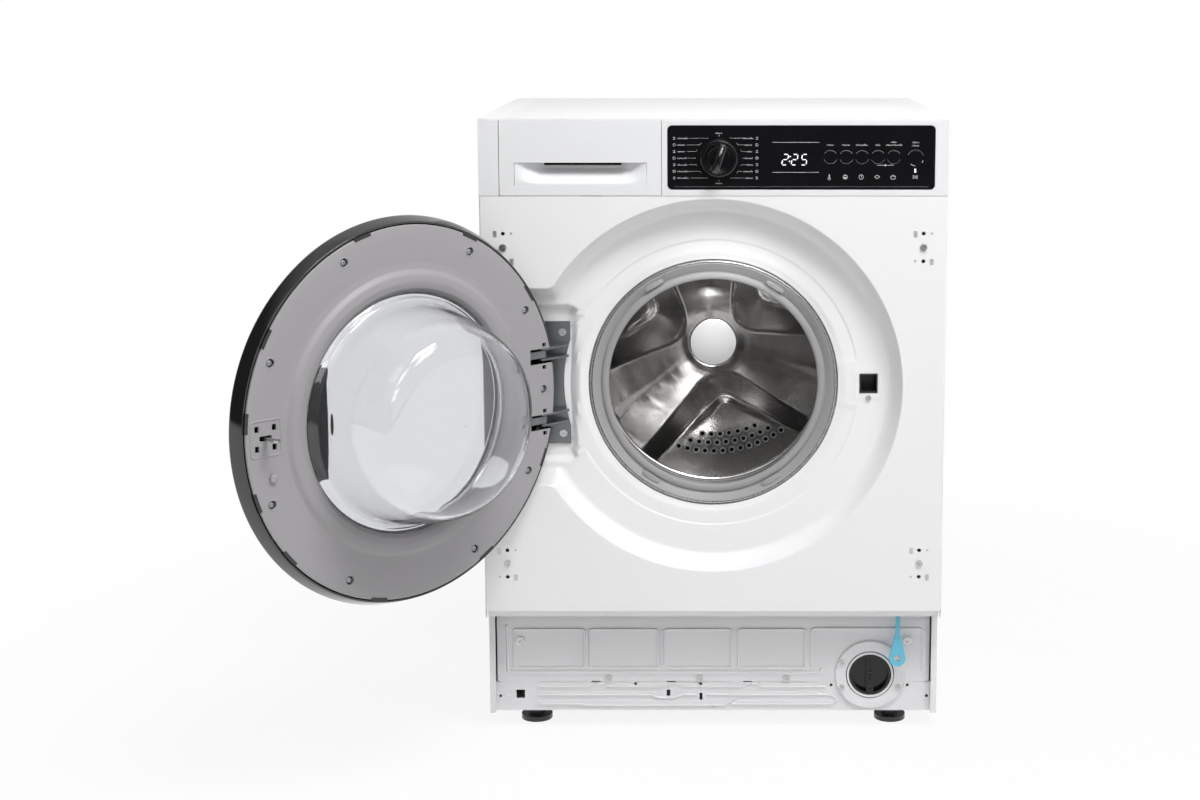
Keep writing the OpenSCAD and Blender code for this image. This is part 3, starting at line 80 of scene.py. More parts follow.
# %% [markdown]
# Three small helpers carry most of the work. One makes a mesh object from points in millimetres. One fits a
# finished piece into the frame: it rides on a body and may stand for CAD nodes.
# One tells which edges stay crisp, because pressed steel is smooth but moulded corners are not.

# %% Make a mesh and fit it into the frame
def make_mesh(name, points, faces, finish, crisp=40.0):
    """A mesh object from points in millimetres. Edges sharper than crisp degrees stay sharp."""
    mesh = bpy.data.meshes.new(name)
    mesh.from_pydata((np.asarray(points, float) * MM).tolist(), [], faces)
    mesh.validate()
    piece = bpy.data.objects.new(name, mesh)
    bpy.context.scene.collection.objects.link(piece)
    mesh.materials.append(finish)
    smooth(piece, crisp)
    return piece


def smooth(piece, crisp):
    """Smooth shading, with edges sharper than crisp degrees kept sharp."""
    piece.data.shade_smooth()
    piece.data.set_sharp_from_angle(angle=math.radians(crisp))


def fit(piece, body, stands_for=()):
    """Let the piece ride on a body and hide the CAD nodes it stands for."""
    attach(piece, body)
    if stands_for:
        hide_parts(*stands_for)
    return piece


def turn_faces_out(piece, merge=0.01):
    """Merge doubles and point every face outwards."""
    bm = bmesh.new()
    bm.from_mesh(piece.data)
    bmesh.ops.remove_doubles(bm, verts=bm.verts, dist=merge * MM)
    bmesh.ops.recalc_face_normals(bm, faces=bm.faces)
    bm.to_mesh(piece.data)
    bm.free()


def apply_modifiers(piece):
    """Turn what the modifiers make into the piece's own plain mesh."""
    deps = bpy.context.evaluated_depsgraph_get()
    made = bpy.data.meshes.new_from_object(piece.evaluated_get(deps))
    piece.modifiers.clear()
    old = piece.data
    piece.data = made
    bpy.data.meshes.remove(old)
    return piece


def join_pieces(name, parts):
    """Join several fresh objects into one mesh, keeping their materials."""
    bm_all, finishes = bmesh.new(), []
    for part in parts:
        finishes += [finish for finish in part.data.materials if finish not in finishes]
        index = [finishes.index(m) for m in part.data.materials] or [0]
        part.data.transform(part.matrix_basis)
        for poly in part.data.polygons:
            poly.material_index = index[min(poly.material_index, len(index) - 1)]
        bm_all.from_mesh(part.data)
    mesh = bpy.data.meshes.new(name)
    bm_all.to_mesh(mesh)
    bm_all.free()
    for finish in finishes:
        mesh.materials.append(finish)
    for part in parts:
        bpy.data.objects.remove(part)
    whole = bpy.data.objects.new(name, mesh)
    bpy.context.scene.collection.objects.link(whole)
    return whole


# %% [markdown]
# Round parts are turned like work on a lathe: a profile in radius and depth is swept about an axis that runs
# from front to back. Real edges are never perfectly sharp, so a second helper rounds the profile's corners
# first. That small radius is what catches the light. Nearly all meshes here are rows of points, and one helper
# joins neighbouring rows by quads.

# %% Round a profile's corners and turn it
NEARLY_STRAIGHT = math.radians(88)


def on_ring(radius, angle, x=0.0, z=DRUM_Z):
    """The place (x, z) on a ring, at an angle in degrees."""
    a = math.radians(angle)
    return x + radius * math.cos(a), z + radius * math.sin(a)


def circle(x, z, radius, sides):
    return [on_ring(radius, 360 * k / sides, x, z) for k in range(sides)]


def quads(rows, columns, close_rows=False, close_columns=True):
    """Faces between neighbouring rows of points that are stored row by row."""
    return [(i * columns + k, i * columns + (k + 1) % columns,
             (i + 1) % rows * columns + (k + 1) % columns, (i + 1) % rows * columns + k)
            for i in range(rows if close_rows else rows - 1)
            for k in range(columns if close_columns else columns - 1)]


def round_corners(points, radius, steps, closed=True):
    """Replace each corner of a profile by an arc. radius is one number or one for each corner."""
    p = [Vector(q) for q in points]
    n = len(p)
    radii = [radius] * n if isinstance(radius, (int, float)) else list(radius)
    out = []
    for i in range(n):
        if (not closed and i in (0, n - 1)) or radii[i] <= 0:
            out.append(tuple(p[i]))
            continue
        a, b, c = p[i - 1], p[i], p[(i + 1) % n]
        u, v = (a - b), (c - b)
        lu, lv = u.length, v.length
        if lu < 1e-6 or lv < 1e-6:
            continue
        u, v = u / lu, v / lv
        half = u.angle(v) / 2
        if half > NEARLY_STRAIGHT:
            out.append(tuple(b))
            continue
        cut = min(radii[i] / math.tan(half), 0.48 * lu, 0.48 * lv)
        r = cut * math.tan(half)
        middle = b + (u + v).normalized() * (r / math.sin(half))
        start, end = b + u * cut - middle, b + v * cut - middle
        for k in range(steps + 1):
            t = k / steps
            q = start.normalized().slerp(end.normalized(), t) * start.length if start.length > 1e-9 else start
            out.append(tuple(middle + q))
    return out


def lathe(name, profile, finish, segments, x=0.0, z=DRUM_Z, on_door=False, crisp=40.0):
    """Turn a closed profile of (radius, y) about an axis along Y."""
    prof = np.array(profile, float)
    turns = np.arange(segments) * 2 * math.pi / segments
    r, a = np.meshgrid(prof[:, 0], turns)
    y = np.meshgrid(prof[:, 1], turns)[0]
    points = np.stack([x + r * np.cos(a), y, z + r * np.sin(a)], -1).reshape(-1, 3)
    faces = quads(segments, len(prof), close_rows=True)
    piece = make_mesh(name, on_open_door(points) if on_door else points, faces, finish, crisp)
    turn_faces_out(piece)
    smooth(piece, crisp)
    return piece


print("Helpers for meshes and turned profiles are ready")

# %% [markdown]
# Paint, plastic and metal are never perfectly even. Three shared effects give every finish its small
# unevenness: one drifts the colour, one drifts the gloss and one raises a fine relief. They are node groups,
# so each finish sets only its own sizes. The shader itself stays outside, where its plain numbers are set.

# %% Shared effects as node groups
def math_node(tree, operation, *values, clamp=False):
    """A math node fed by sockets or plain numbers."""
    node = tree.nodes.new("ShaderNodeMath")
    node.operation, node.use_clamp = operation, clamp
    for socket, value in zip(node.inputs, values):
        if isinstance(value, (int, float)):
            socket.default_value = value
        else:
            tree.links.new(value, socket)
    return node.outputs[0]


def ramp_node(tree, value, low, high, to_low, to_high):
    """Map a value from low..high to to_low..to_high."""
    node = tree.nodes.new("ShaderNodeMapRange")
    for label, number in (("From Min", low), ("From Max", high), ("To Min", to_low), ("To Max", to_high)):
        node.inputs[label].default_value = number
    tree.links.new(value, node.inputs["Value"])
    return node.outputs["Result"]


def effect_group(name, inputs, output):
    """An empty shader node group with named inputs and one output."""
    tree = bpy.data.node_groups.new(name, "ShaderNodeTree")
    for label, kind, value in inputs:
        socket = tree.interface.new_socket(name=label, in_out="INPUT", socket_type="NodeSocket" + kind)
        if value is not None:
            socket.default_value = value
    tree.interface.new_socket(name=output[0], in_out="OUTPUT", socket_type="NodeSocket" + output[1])
    return tree, tree.nodes.new("NodeGroupInput"), tree.nodes.new("NodeGroupOutput")


def group_noise(tree, start, detail):
    """Noise on the piece's own coordinates, with its cell size in millimetres."""
    noise = tree.nodes.new("ShaderNodeTexNoise")
    noise.inputs["Detail"].default_value = detail
    tree.links.new(start.outputs["Place"], noise.inputs["Vector"])
    tree.links.new(math_node(tree, "DIVIDE", 1.0 / MM, start.outputs["Size"]), noise.inputs["Scale"])
    return noise.outputs["Fac"]


def build_uneven_colour():
    """Noise makes the colour a little lighter or darker."""
    tree, start, end = effect_group("uneven_colour", [
        ("Place", "Vector", None), ("Colour", "Color", (0.8, 0.8, 0.8, 1)), ("Size", "Float", 60.0),
        ("Amount", "Float", 0.03)], ("Colour", "Color"))
    centre = math_node(tree, "SUBTRACT", group_noise(tree, start, 3.0), 0.5)
    drift = math_node(tree, "MULTIPLY_ADD", centre, start.outputs["Amount"], 1.0)
    scaled = tree.nodes.new("ShaderNodeVectorMath")
    scaled.operation = "SCALE"
    tree.links.new(start.outputs["Colour"], scaled.inputs[0])
    tree.links.new(drift, scaled.inputs["Scale"])
    tree.links.new(scaled.outputs[0], end.inputs[0])
    return tree


def build_uneven_gloss():
    """Noise makes the surface a little rougher or glossier."""
    tree, start, end = effect_group("uneven_gloss", [
        ("Place", "Vector", None), ("Roughness", "Float", 0.4), ("Size", "Float", 40.0),
        ("Amount", "Float", 0.1)], ("Roughness", "Float"))
    centre = math_node(tree, "SUBTRACT", group_noise(tree, start, 4.0), 0.5)
    drift = math_node(tree, "MULTIPLY_ADD", centre, start.outputs["Amount"], start.outputs["Roughness"],
                      clamp=True)
    tree.links.new(drift, end.inputs[0])
    return tree


def build_fine_relief():
    """Noise raises a relief whose height is given in millimetres."""
    tree, start, end = effect_group("fine_relief", [
        ("Place", "Vector", None), ("Size", "Float", 1.0), ("Height", "Float", 0.02)], ("Normal", "Vector"))
    bump = tree.nodes.new("ShaderNodeBump")
    tree.links.new(group_noise(tree, start, 2.0), bump.inputs["Height"])
    tree.links.new(math_node(tree, "MULTIPLY", start.outputs["Height"], MM), bump.inputs["Distance"])
    tree.links.new(bump.outputs["Normal"], end.inputs[0])
    return tree


UNEVEN_COLOUR, UNEVEN_GLOSS, FINE_RELIEF = build_uneven_colour(), build_uneven_gloss(), build_fine_relief()
print("Shared effects:", UNEVEN_COLOUR.name, UNEVEN_GLOSS.name, FINE_RELIEF.name)

# %% [markdown]
# Most finishes of the machine differ only in colour, gloss and the size of their relief, so one function makes
# them: enamel has an orange-peel relief of a few millimetres, moulded plastic a fine spark-eroded grain, and
# metal a stretched grain along the direction in which it was rolled or brushed.

# %% Make a finish from the shared effects
def make_finish(name, colour, gloss, drift, relief, metal=0.0, drift_size=90.0, gloss_drift=0.08,
                stretch=(1, 1, 1), coat=0.0, specular=0.5, sheen=0.0):
    """A finish: colour, roughness, how both drift, and a relief of (cell size, height) in millimetres."""
    material = bpy.data.materials.new(name)
    material.use_nodes = True
    tree = material.node_tree
    shader = tree.nodes["Principled BSDF"]
    shader.inputs["Metallic"].default_value = metal
    shader.inputs["Specular IOR Level"].default_value = specular
    shader.inputs["Coat Weight"].default_value = coat
    shader.inputs["Coat Roughness"].default_value = 0.08
    shader.inputs["Sheen Weight"].default_value = sheen
    place = tree.nodes.new("ShaderNodeTexCoord")
    along = tree.nodes.new("ShaderNodeMapping")
    along.inputs["Scale"].default_value = stretch
    tree.links.new(place.outputs["Object"], along.inputs["Vector"])
    for group, socket, values in (
            (UNEVEN_COLOUR, "Base Color", {"Colour": (*colour, 1), "Size": drift_size, "Amount": drift}),
            (UNEVEN_GLOSS, "Roughness", {"Roughness": gloss, "Size": drift_size / 3, "Amount": gloss_drift}),
            (FINE_RELIEF, "Normal", {"Size": relief[0], "Height": relief[1]})):
        node = tree.nodes.new("ShaderNodeGroup")
        node.node_tree = group
        node.name = group.name
        for label, value in values.items():
            node.inputs[label].default_value = value
        tree.links.new(along.outputs["Vector"] if socket != "Base Color" else place.outputs["Object"],
                       node.inputs["Place"])
        tree.links.new(node.outputs[0], shader.inputs[socket])
    return material


ENAMEL = make_finish("white_enamel", (0.80, 0.80, 0.81), 0.32, drift=0.012, drift_size=240, relief=(2.2, 0.012),
                     coat=0.15)
SIDE_ENAMEL = make_finish("side_enamel", (0.76, 0.76, 0.77), 0.42, drift=0.02, drift_size=200,
                          relief=(1.6, 0.02))
# Painted shade: the plinth's enamel is darker than the front's, for the shade under the overhanging front
# panel; the base tray shares it.
SHADED_PLINTH_ENAMEL = make_finish("plinth_enamel", (0.76, 0.755, 0.77), 0.38, drift=0.015, drift_size=180,
                            relief=(1.8, 0.015))
WHITE_PLASTIC = make_finish("white_plastic", (0.73, 0.735, 0.745), 0.38, drift=0.01, drift_size=150,
                            relief=(0.5, 0.006))
TRAY_PLASTIC = make_finish("tray_plastic", (0.74, 0.75, 0.77), 0.48, drift=0.02, drift_size=60,
                           relief=(0.4, 0.01))
BLACK_GLOSS = make_finish("black_gloss", (0.006, 0.006, 0.007), 0.10, drift=0.2, drift_size=120,
                          gloss_drift=0.04, relief=(8.0, 0.004), coat=0.5)
PANEL_BLACK = make_finish("panel_black", (0.004, 0.004, 0.005), 0.16, drift=0.3, drift_size=60,
                          gloss_drift=0.05, relief=(3.0, 0.003), specular=0.35)
BLACK_PLASTIC = make_finish("black_plastic", (0.016, 0.016, 0.017), 0.36, drift=0.15, drift_size=30,
                            relief=(0.35, 0.02))
GREY_FRAME = make_finish("door_frame_grey", (0.315, 0.305, 0.315), 0.46, drift=0.03, drift_size=160,
                         relief=(0.6, 0.012))
GREY_RUBBER = make_finish("seal_rubber", (0.30, 0.295, 0.30), 0.52, drift=0.06, drift_size=45, gloss_drift=0.15,
                          relief=(0.9, 0.03), sheen=0.1)
BLACK_RUBBER = make_finish("black_rubber", (0.02, 0.02, 0.02), 0.62, drift=0.2, drift_size=25,
                           relief=(0.8, 0.04))
HINGE_STEEL = make_finish("hinge_steel", (0.17, 0.18, 0.185), 0.34, metal=0.9, drift=0.2, drift_size=22,
                          gloss_drift=0.2, relief=(0.5, 0.015))
SCREW_STEEL = make_finish("screw_steel", (0.44, 0.45, 0.45), 0.28, metal=1.0, drift=0.12, drift_size=6,
                          gloss_drift=0.2, relief=(0.4, 0.01))
DRUM_STEEL = make_finish("drum_steel", (0.68, 0.67, 0.66), 0.17, metal=1.0, drift=0.10, drift_size=110,
                         gloss_drift=0.10, relief=(30.0, 0.30), stretch=(1, 0.4, 1))
DRUM_BACK_STEEL = make_finish("drum_back_steel", (0.66, 0.65, 0.64), 0.21, metal=1.0, drift=0.12, drift_size=70,
                              gloss_drift=0.12, relief=(26.0, 0.45))
CAST_METAL = make_finish("cast_metal", (0.52, 0.53, 0.55), 0.55, metal=0.9, drift=0.1, drift_size=18,
                         relief=(1.4, 0.12))
MOTOR_STEEL = make_finish("motor_steel", (0.34, 0.35, 0.37), 0.42, metal=0.9, drift=0.15, drift_size=30,
                          relief=(1.0, 0.03))
TUB_PLASTIC = make_finish("tub_plastic", (0.55, 0.55, 0.56), 0.60, drift=0.10, drift_size=12,
                          relief=(1.1, 0.06))
PUMP_PLASTIC = make_finish("pump_plastic", (0.22, 0.225, 0.23), 0.5, drift=0.08, drift_size=20,
                           relief=(0.6, 0.02))
WEIGHT_STONE = make_finish("weight_stone", (0.42, 0.41, 0.39), 0.88, drift=0.35, drift_size=9,
                           relief=(2.5, 0.35))
# Painted shade: a near-black finish put where holes, slots and open louvres would show only shade inside.
PAINTED_SHADE_BLACK = make_finish("dark_hole", (0.004, 0.004, 0.004), 0.8, drift=0.2, drift_size=10, relief=(1.0, 0.01),
                        specular=0.1)
# Painted highlight: near white and not metallic, so the hub of the steel back and the drain holes' rims look
# brightly lit.
STEEL_PAINTED_HIGHLIGHT = make_finish("hub_steel", (0.95, 0.95, 0.96), 0.38, drift=0.05, drift_size=30, relief=(0.5, 0.01))
PRINT_AND_HIGHLIGHT_WHITE = make_finish("print_white", (0.66, 0.67, 0.68), 0.45, drift=0.15, drift_size=1.2,
                          relief=(0.3, 0.004))
PRINT_GREY = make_finish("print_grey", (0.30, 0.31, 0.32), 0.45, drift=0.15, drift_size=1.2,
                         relief=(0.3, 0.004))
PULL_BLUE = make_finish("pull_blue", (0.13, 0.50, 0.68), 0.36, drift=0.10, drift_size=12, relief=(0.5, 0.02))
print("Plain finishes made:", len(bpy.data.materials))

# %% [markdown]
# Three finishes need more than drift. Galvanised sheet shows large flat crystals, which a Voronoi pattern
# gives. Glass and the lit display need their own shaders: glass lets light through, and the display glows.

# %% Galvanised sheet, glass and the lit display
CRYSTAL_SIZE = 9 * MM
CLEAR, GLASS_IOR = (0.725, 0.73, 0.74), 1.47


def make_galvanised():
    """Flat crystals in several greys, over the plain finish."""
    material = make_finish("galvanised_sheet", (0.50, 0.52, 0.54), 0.42, metal=0.85, drift=0.04,
                           relief=(1.0, 0.01))
    tree = material.node_tree
    crystals = tree.nodes.new("ShaderNodeTexVoronoi")
    crystals.inputs["Scale"].default_value = 1 / CRYSTAL_SIZE
    place = tree.nodes.new("ShaderNodeTexCoord")
    tree.links.new(place.outputs["Object"], crystals.inputs["Vector"])
    shade = ramp_node(tree, crystals.outputs["Color"], 0.0, 1.0, 0.47, 0.56)
    tint = tree.nodes.new("ShaderNodeCombineColor")
    for channel in ("Red", "Green", "Blue"):
        tree.links.new(shade, tint.inputs[channel])
    tree.links.new(tint.outputs["Color"], tree.nodes["uneven_colour"].inputs["Colour"])
    return material


def make_glass(name):
    """Clear glass without relief, so that what stands behind it stays sharp."""
    material = make_finish(name, CLEAR, 0.0, drift=0.01, gloss_drift=0.01, relief=(40.0, 0.0))
    shader = material.node_tree.nodes["Principled BSDF"]
    shader.inputs["Transmission Weight"].default_value = 1.0
    shader.inputs["IOR"].default_value = GLASS_IOR
    return material


def make_display():
    material = make_finish("display_light", (0.9, 0.92, 0.95), 0.4, drift=0.02, relief=(0.5, 0.002))
    shader = material.node_tree.nodes["Principled BSDF"]
    shader.inputs["Emission Color"].default_value = (0.95, 0.97, 1.0, 1)
    shader.inputs["Emission Strength"].default_value = 0.75
    return material


GALVANISED = make_galvanised()
BOWL_GLASS, WINDOW_GLASS = make_glass("bowl_glass"), make_glass("window_glass")
DISPLAY_LIGHT = make_display()
print("All finishes:", len(bpy.data.materials))

# %% [markdown]
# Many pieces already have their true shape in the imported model: side walls, brackets, boxes and feet. Their
# edges are perfectly sharp, though, as no folded sheet or moulded part is. So a copy of the mesh is merged,
# its flat faces are joined again, and a small bevel rounds the edges. The CAD node itself is never changed.

# %% Round the edges of a CAD shape
FOLD_ANGLE, CRISP_ANGLE = math.radians(30.0), 35.0
SAME_POINT, SHORT_EDGE, SAME_PLANE = 0.005 * MM, 0.002 * MM, math.radians(0.8)


def flat_faces_first(piece):
    """Let large flat faces rule the shading round a bevel."""
    weigh = piece.modifiers.new("flat_faces_first", "WEIGHTED_NORMAL")
    weigh.keep_sharp = True
    return apply_modifiers(piece)


def soften_cad(node, finish, body, edge, ride=True):
    """A copy of a CAD node with rounded edges, which stands for the node. edge is in millimetres."""
    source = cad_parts[node]
    piece = bpy.data.objects.new(node + "_finished", source.data.copy())
    bpy.context.scene.collection.objects.link(piece)
    bm = bmesh.new()
    bm.from_mesh(piece.data)
    bmesh.ops.remove_doubles(bm, verts=bm.verts, dist=SAME_POINT)
    bmesh.ops.dissolve_degenerate(bm, edges=bm.edges, dist=SHORT_EDGE)
    bmesh.ops.dissolve_limit(bm, angle_limit=SAME_PLANE, verts=bm.verts, edges=bm.edges)
    bm.to_mesh(piece.data)
    bm.free()
    piece.data.materials.clear()
    piece.data.materials.append(finish)
    for poly in piece.data.polygons:
        poly.material_index = 0
    if edge > 0:
        bevel = piece.modifiers.new("rounded_edges", "BEVEL")
        bevel.width = edge * MM
        bevel.segments = 2
        bevel.limit_method = "ANGLE"
        bevel.angle_limit = FOLD_ANGLE
        bevel.use_clamp_overlap = True
        bevel.harden_normals = False
    apply_modifiers(piece)
    smooth(piece, CRISP_ANGLE)
    flat_faces_first(piece)
    return fit(piece, body, [node]) if ride else piece


CABINET_SHAPES = [
    ("rear_panel", GALVANISED, "galvanised_steel", 0.0),
    ("rear_service_cover", GALVANISED, "galvanised_steel", 0.4),
    ("base_tray", SHADED_PLINTH_ENAMEL, "body_enamel", 0.3),
    ("control_fascia", WHITE_PLASTIC, "white_plastic", 0.5),
    ("control_panel", PANEL_BLACK, "black_gloss", 0.4),
    ("dispenser_housing", TRAY_PLASTIC, "tray_plastic", 0.4),
    ("inlet_valve", PUMP_PLASTIC, "pump_plastic", 0.6),
    ("hinge_bracket", HINGE_STEEL, "hinge_steel", 0.5),
    ("door_lock", BLACK_PLASTIC, "black_plastic", 0.5),
    ("panel_screws", SCREW_STEEL, "zinc_steel", 0.0),
    ("furniture_hinge_plates", GALVANISED, "galvanised_steel", 0.3),
    ("drain_pump", WHITE_PLASTIC, "pump_plastic", 0.8),
    ("rear_fittings", PUMP_PLASTIC, "pump_plastic", 0.5)]
for node, finish, slot, edge in CABINET_SHAPES:
    soften_cad(node, finish, "cabinet", edge)
SIDES = {side: soften_cad(node, SIDE_ENAMEL, "cabinet", 0.45)
         for side, node in ((-1, "left_side_panel"), (1, "right_side_panel"))}
TOP = soften_cad("top_cover", SIDE_ENAMEL, "cabinet", 0.45)
print("Cabinet pieces with rounded edges:", len(CABINET_SHAPES) + 3)

# %% [markdown]
# The same helper serves the pieces that move. Each one rides on its own body: the lifters and the spider on the
# drum, the hook, the drawer, six keys, the filter's cap and basket, the pull and four feet. Cast and rubbery
# pieces take a wider rounding than sheet metal.

# %% Drum, door, controls and feet from their CAD shapes
for node, finish, body, slot, edge in [
        ("drum_lifters", DRUM_STEEL, "drum", "lifter_plastic", 2.0),
        ("drum_spider", CAST_METAL, "drum", "cast_aluminium", 1.5),
        ("drum_pulley", CAST_METAL, "drum", "cast_aluminium", 0.8),
        ("door_window", WINDOW_GLASS, "door", "clear_glass", 0.3),
        ("door_arms", HINGE_STEEL, "door", "hinge_steel", 0.6),
        ("door_hook", SCREW_STEEL, "hook", "zinc_steel", 0.4),
        ("drawer_front", WHITE_PLASTIC, "drawer", "white_plastic", 0.6),
        ("drawer_tray", TRAY_PLASTIC, "drawer", "tray_plastic", 0.5),
        ("start_button", PANEL_BLACK, "start_key", "black_plastic", 0.4),
        ("filter_cap", PANEL_BLACK, "cap", "black_plastic", 0.5),
        ("filter_basket", WHITE_PLASTIC, "filter", "pump_plastic", 0.0),
        ("release_pull", PULL_BLUE, "pull", "blue_plastic", 0.4)]:
    soften_cad(node, finish, body, edge)
for number in range(1, 6):
    soften_cad(f"option_button_{number}", PANEL_BLACK, f"option_key_{number}", 0.4)
for corner in ("front_left", "front_right", "rear_left", "rear_right"):
    soften_cad(f"foot_{corner}", BLACK_PLASTIC, f"foot_body_{corner}", 0.8)
print("Moving pieces with rounded edges are in place")

# %% [markdown]
# The pieces inside the closed cabinet are never seen, so their CAD meshes stay as they are. They still take a
# finish: cast weights look like stone, hoses and belt like rubber, and rods and bearings like ground steel.

# %% Finishes of the hidden pieces
HIDDEN = {"tub_hoses": BLACK_RUBBER, "suspension_springs": SCREW_STEEL, "damper_cylinders": MOTOR_STEEL,
          "tub_front": TUB_PLASTIC, "tub_rear": TUB_PLASTIC, "counterweights": WEIGHT_STONE,
          "heater": DRUM_STEEL, "motor_housing": MOTOR_STEEL, "drum_bearings": SCREW_STEEL,
          "damper_rods": SCREW_STEEL, "drive_belt": BLACK_RUBBER, "motor_pulley": MOTOR_STEEL}
for node, finish in HIDDEN.items():
    for slot_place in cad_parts[node].material_slots:
        slot_place.material = finish
print("Hidden pieces given a finish:", len(HIDDEN))

# %% [markdown]
# The front panel is one pressed sheet. A circular recess takes the closed door, and a rectangular pocket on
# the left gives its rim room to swing. On the press, every bend becomes a soft fillet. So the sheet is made as
# a depth for each place: the distance from the recess's outline is turned into a depth by a smooth ramp. A ring
# grid follows the round shapes, and the flat rest is filled round real holes.

# %% Depth of the pressed front panel
RECESS_R, POCKET_X, POCKET_HALF = 243.0, -252.0, 128.0
FLOOR_DEPTH, RING_STEP, WELL_STEP, POCKET_STEP = 30.0, 1.2, 2.2, 8.6
LOCK_X, LOCK_W, LOCK_H = 202.0, 24.0, 26.0


def ramp(t):
    """0 below 0, 1 above 1, smooth between."""
    t = np.clip(t, 0, 1)
    return t * t * (3 - 2 * t)


def soft_max(a, b, width):
    """The larger of two distances, with a smooth change between them."""
    h = np.clip(0.5 + 0.5 * (a - b) / width, 0, 1)
    return b + (a - b) * h + width * h * (1 - h) * 0.5


def inside_outline(x, dz):
    """Distance to the recess's outline, positive inside it."""
    circle = RECESS_R - np.hypot(x, dz)
    corner = 14.0
    qx = (POCKET_X + corner) - x
    qz = np.abs(dz) - (POCKET_HALF - corner)
    block = corner - (np.hypot(np.maximum(qx, 0), np.maximum(qz, 0)) + np.minimum(np.maximum(qx, qz), 0))
    block = np.where(x < -40, block, -200.0)
    return soft_max(circle, block, 10.0)


def panel_depth(x, z):
    """Depth of the sheet behind the front plane, in millimetres."""
    dz = z - DRUM_Z
    r = np.hypot(x, dz)
    d = inside_outline(x, dz)
    edge = 1.6
    d = np.where(d < -edge, 0, np.where(d < edge, (d + edge) ** 2 / (4 * edge), d))
    t = np.clip(d / 20.0, 0, 1)
    depth = FLOOR_DEPTH * (1 - (1 - t) ** 2.3)
    lock_pad = ramp((11 - np.degrees(np.abs(np.arctan2(dz, x)))) / 1.6)
    hinge_zone = ramp((-x - 120) / 8) * ramp((91 - np.abs(dz)) / 4)
    ring = np.maximum(ramp((190 - r) / 3), hinge_zone * ramp((d - 12) / 8)) * (1 - lock_pad)
    depth = depth + RING_STEP * ring + WELL_STEP * ramp((173 - r) / 9)
    pocket = ramp((-x - 176) / 10) * ramp((104 - np.abs(dz)) / 7) * ramp((d - 5) / 8)
    depth = depth + POCKET_STEP * pocket * (1 - 0.14 * ring)
    u, v = np.abs(x - LOCK_X), np.abs(dz)
    frame_line = np.maximum(u / 16.5, v / 17.5)
    emboss = ramp((frame_line - 0.86) / 0.10) * ramp((1.16 - frame_line) / 0.12)
    return depth - 1.3 * emboss * (r > 160)


def outer_radius(angle):
    """Where the ring grid ends and the flat sheet begins."""
    c, s = math.cos(angle), math.sin(angle)
    radius = 246.6
    if c < 0:
        left, high = 257.5 / -c, 134.0 / max(abs(s), 1e-6)
        radius = max(radius, min(left, high))
    return radius


print("Depth in the pocket:", round(float(panel_depth(np.array([-215.0]), np.array([DRUM_Z]))[0]), 1), "mm")

# %% [markdown]
# The ring grid has close rows where the sheet bends and wide rows where it is flat, and more spokes on the
# side of the pocket. Its last row is also the inner edge of the flat sheet, so both share their points.

# %% Sheet metal of the front panel
PANEL_LOW, PANEL_TOP, PANEL_LIP_LOW = 176.0, 721.4, 166.2
FOLD_R, LIP_R, FOLD_DEPTH, NECK_DEPTH, SHEET = 2.4, 1.6, 13.8, 45.0, 0.8
FLAT_W, FLAT_LOW = HALF_W - FOLD_R, PANEL_LOW + LIP_R
HINGE_HOLE_X, HINGE_HOLE_ZS, HINGE_HOLE_STEP = 268, (656.0, 241.0), 17.8


def ring_grid():
    """Rows of points along spokes, from the neck to the outline of the recess."""
    angles = np.concatenate([np.linspace(-145, 145, 250, endpoint=False),
                             np.linspace(145, 215, 150, endpoint=False)])
    near = [162.0, 162.3, 163.0, 164.2, 166, 168, 170.5, 173, 175, 180, 186.4, 187.2, 188.2, 189.2, 190.2, 194,
            200, 207, 213, 218]
    rows = []
    for angle in np.radians(angles):
        far = outer_radius(angle)
        radii = near + list(near[-1] + (far - near[-1]) * np.linspace(0, 1, 33)[1:])
        x = np.array(radii) * math.cos(angle)
        z = DRUM_Z + np.array(radii) * math.sin(angle)
        y = FRONT + panel_depth(x, z)
        y[0], y[1], y[2] = FRONT + NECK_DEPTH, y[3] + 1.6, y[3] + 0.5
        rows.append(np.stack([x, y, z], -1))
    grid = np.array(rows)
    faces = quads(*grid.shape[:2], close_rows=True, close_columns=False)
    return grid.reshape(-1, 3), faces, grid[:, -1]


def slot_hole(x, z, w, h):
    corners = [(x + u * w, z + v * h, 0) for u, v in ((-0.5, -0.5), (0.5, -0.5), (0.5, 0.5), (-0.5, 0.5))]
    return [(p[0], p[1]) for p in round_corners(corners, w * 0.3, 3)]


def hinge_holes():
    """The openings for the furniture hinges: in each group two screw holes, two pin holes and two slots."""
    holes = []
    for sx in (-1, 1):
        for middle in HINGE_HOLE_ZS:
            for turn in (-1, 1):
                x, z = sx * HINGE_HOLE_X, middle + turn * HINGE_HOLE_STEP
                holes.append(circle(x, z, 2.5, 24))
                holes.append(circle(x + turn * 10.5, z, 1.6, 16))
                holes.append(slot_hole(x - turn * 10.5, z - 1, 5.0, 8.5))
    return holes


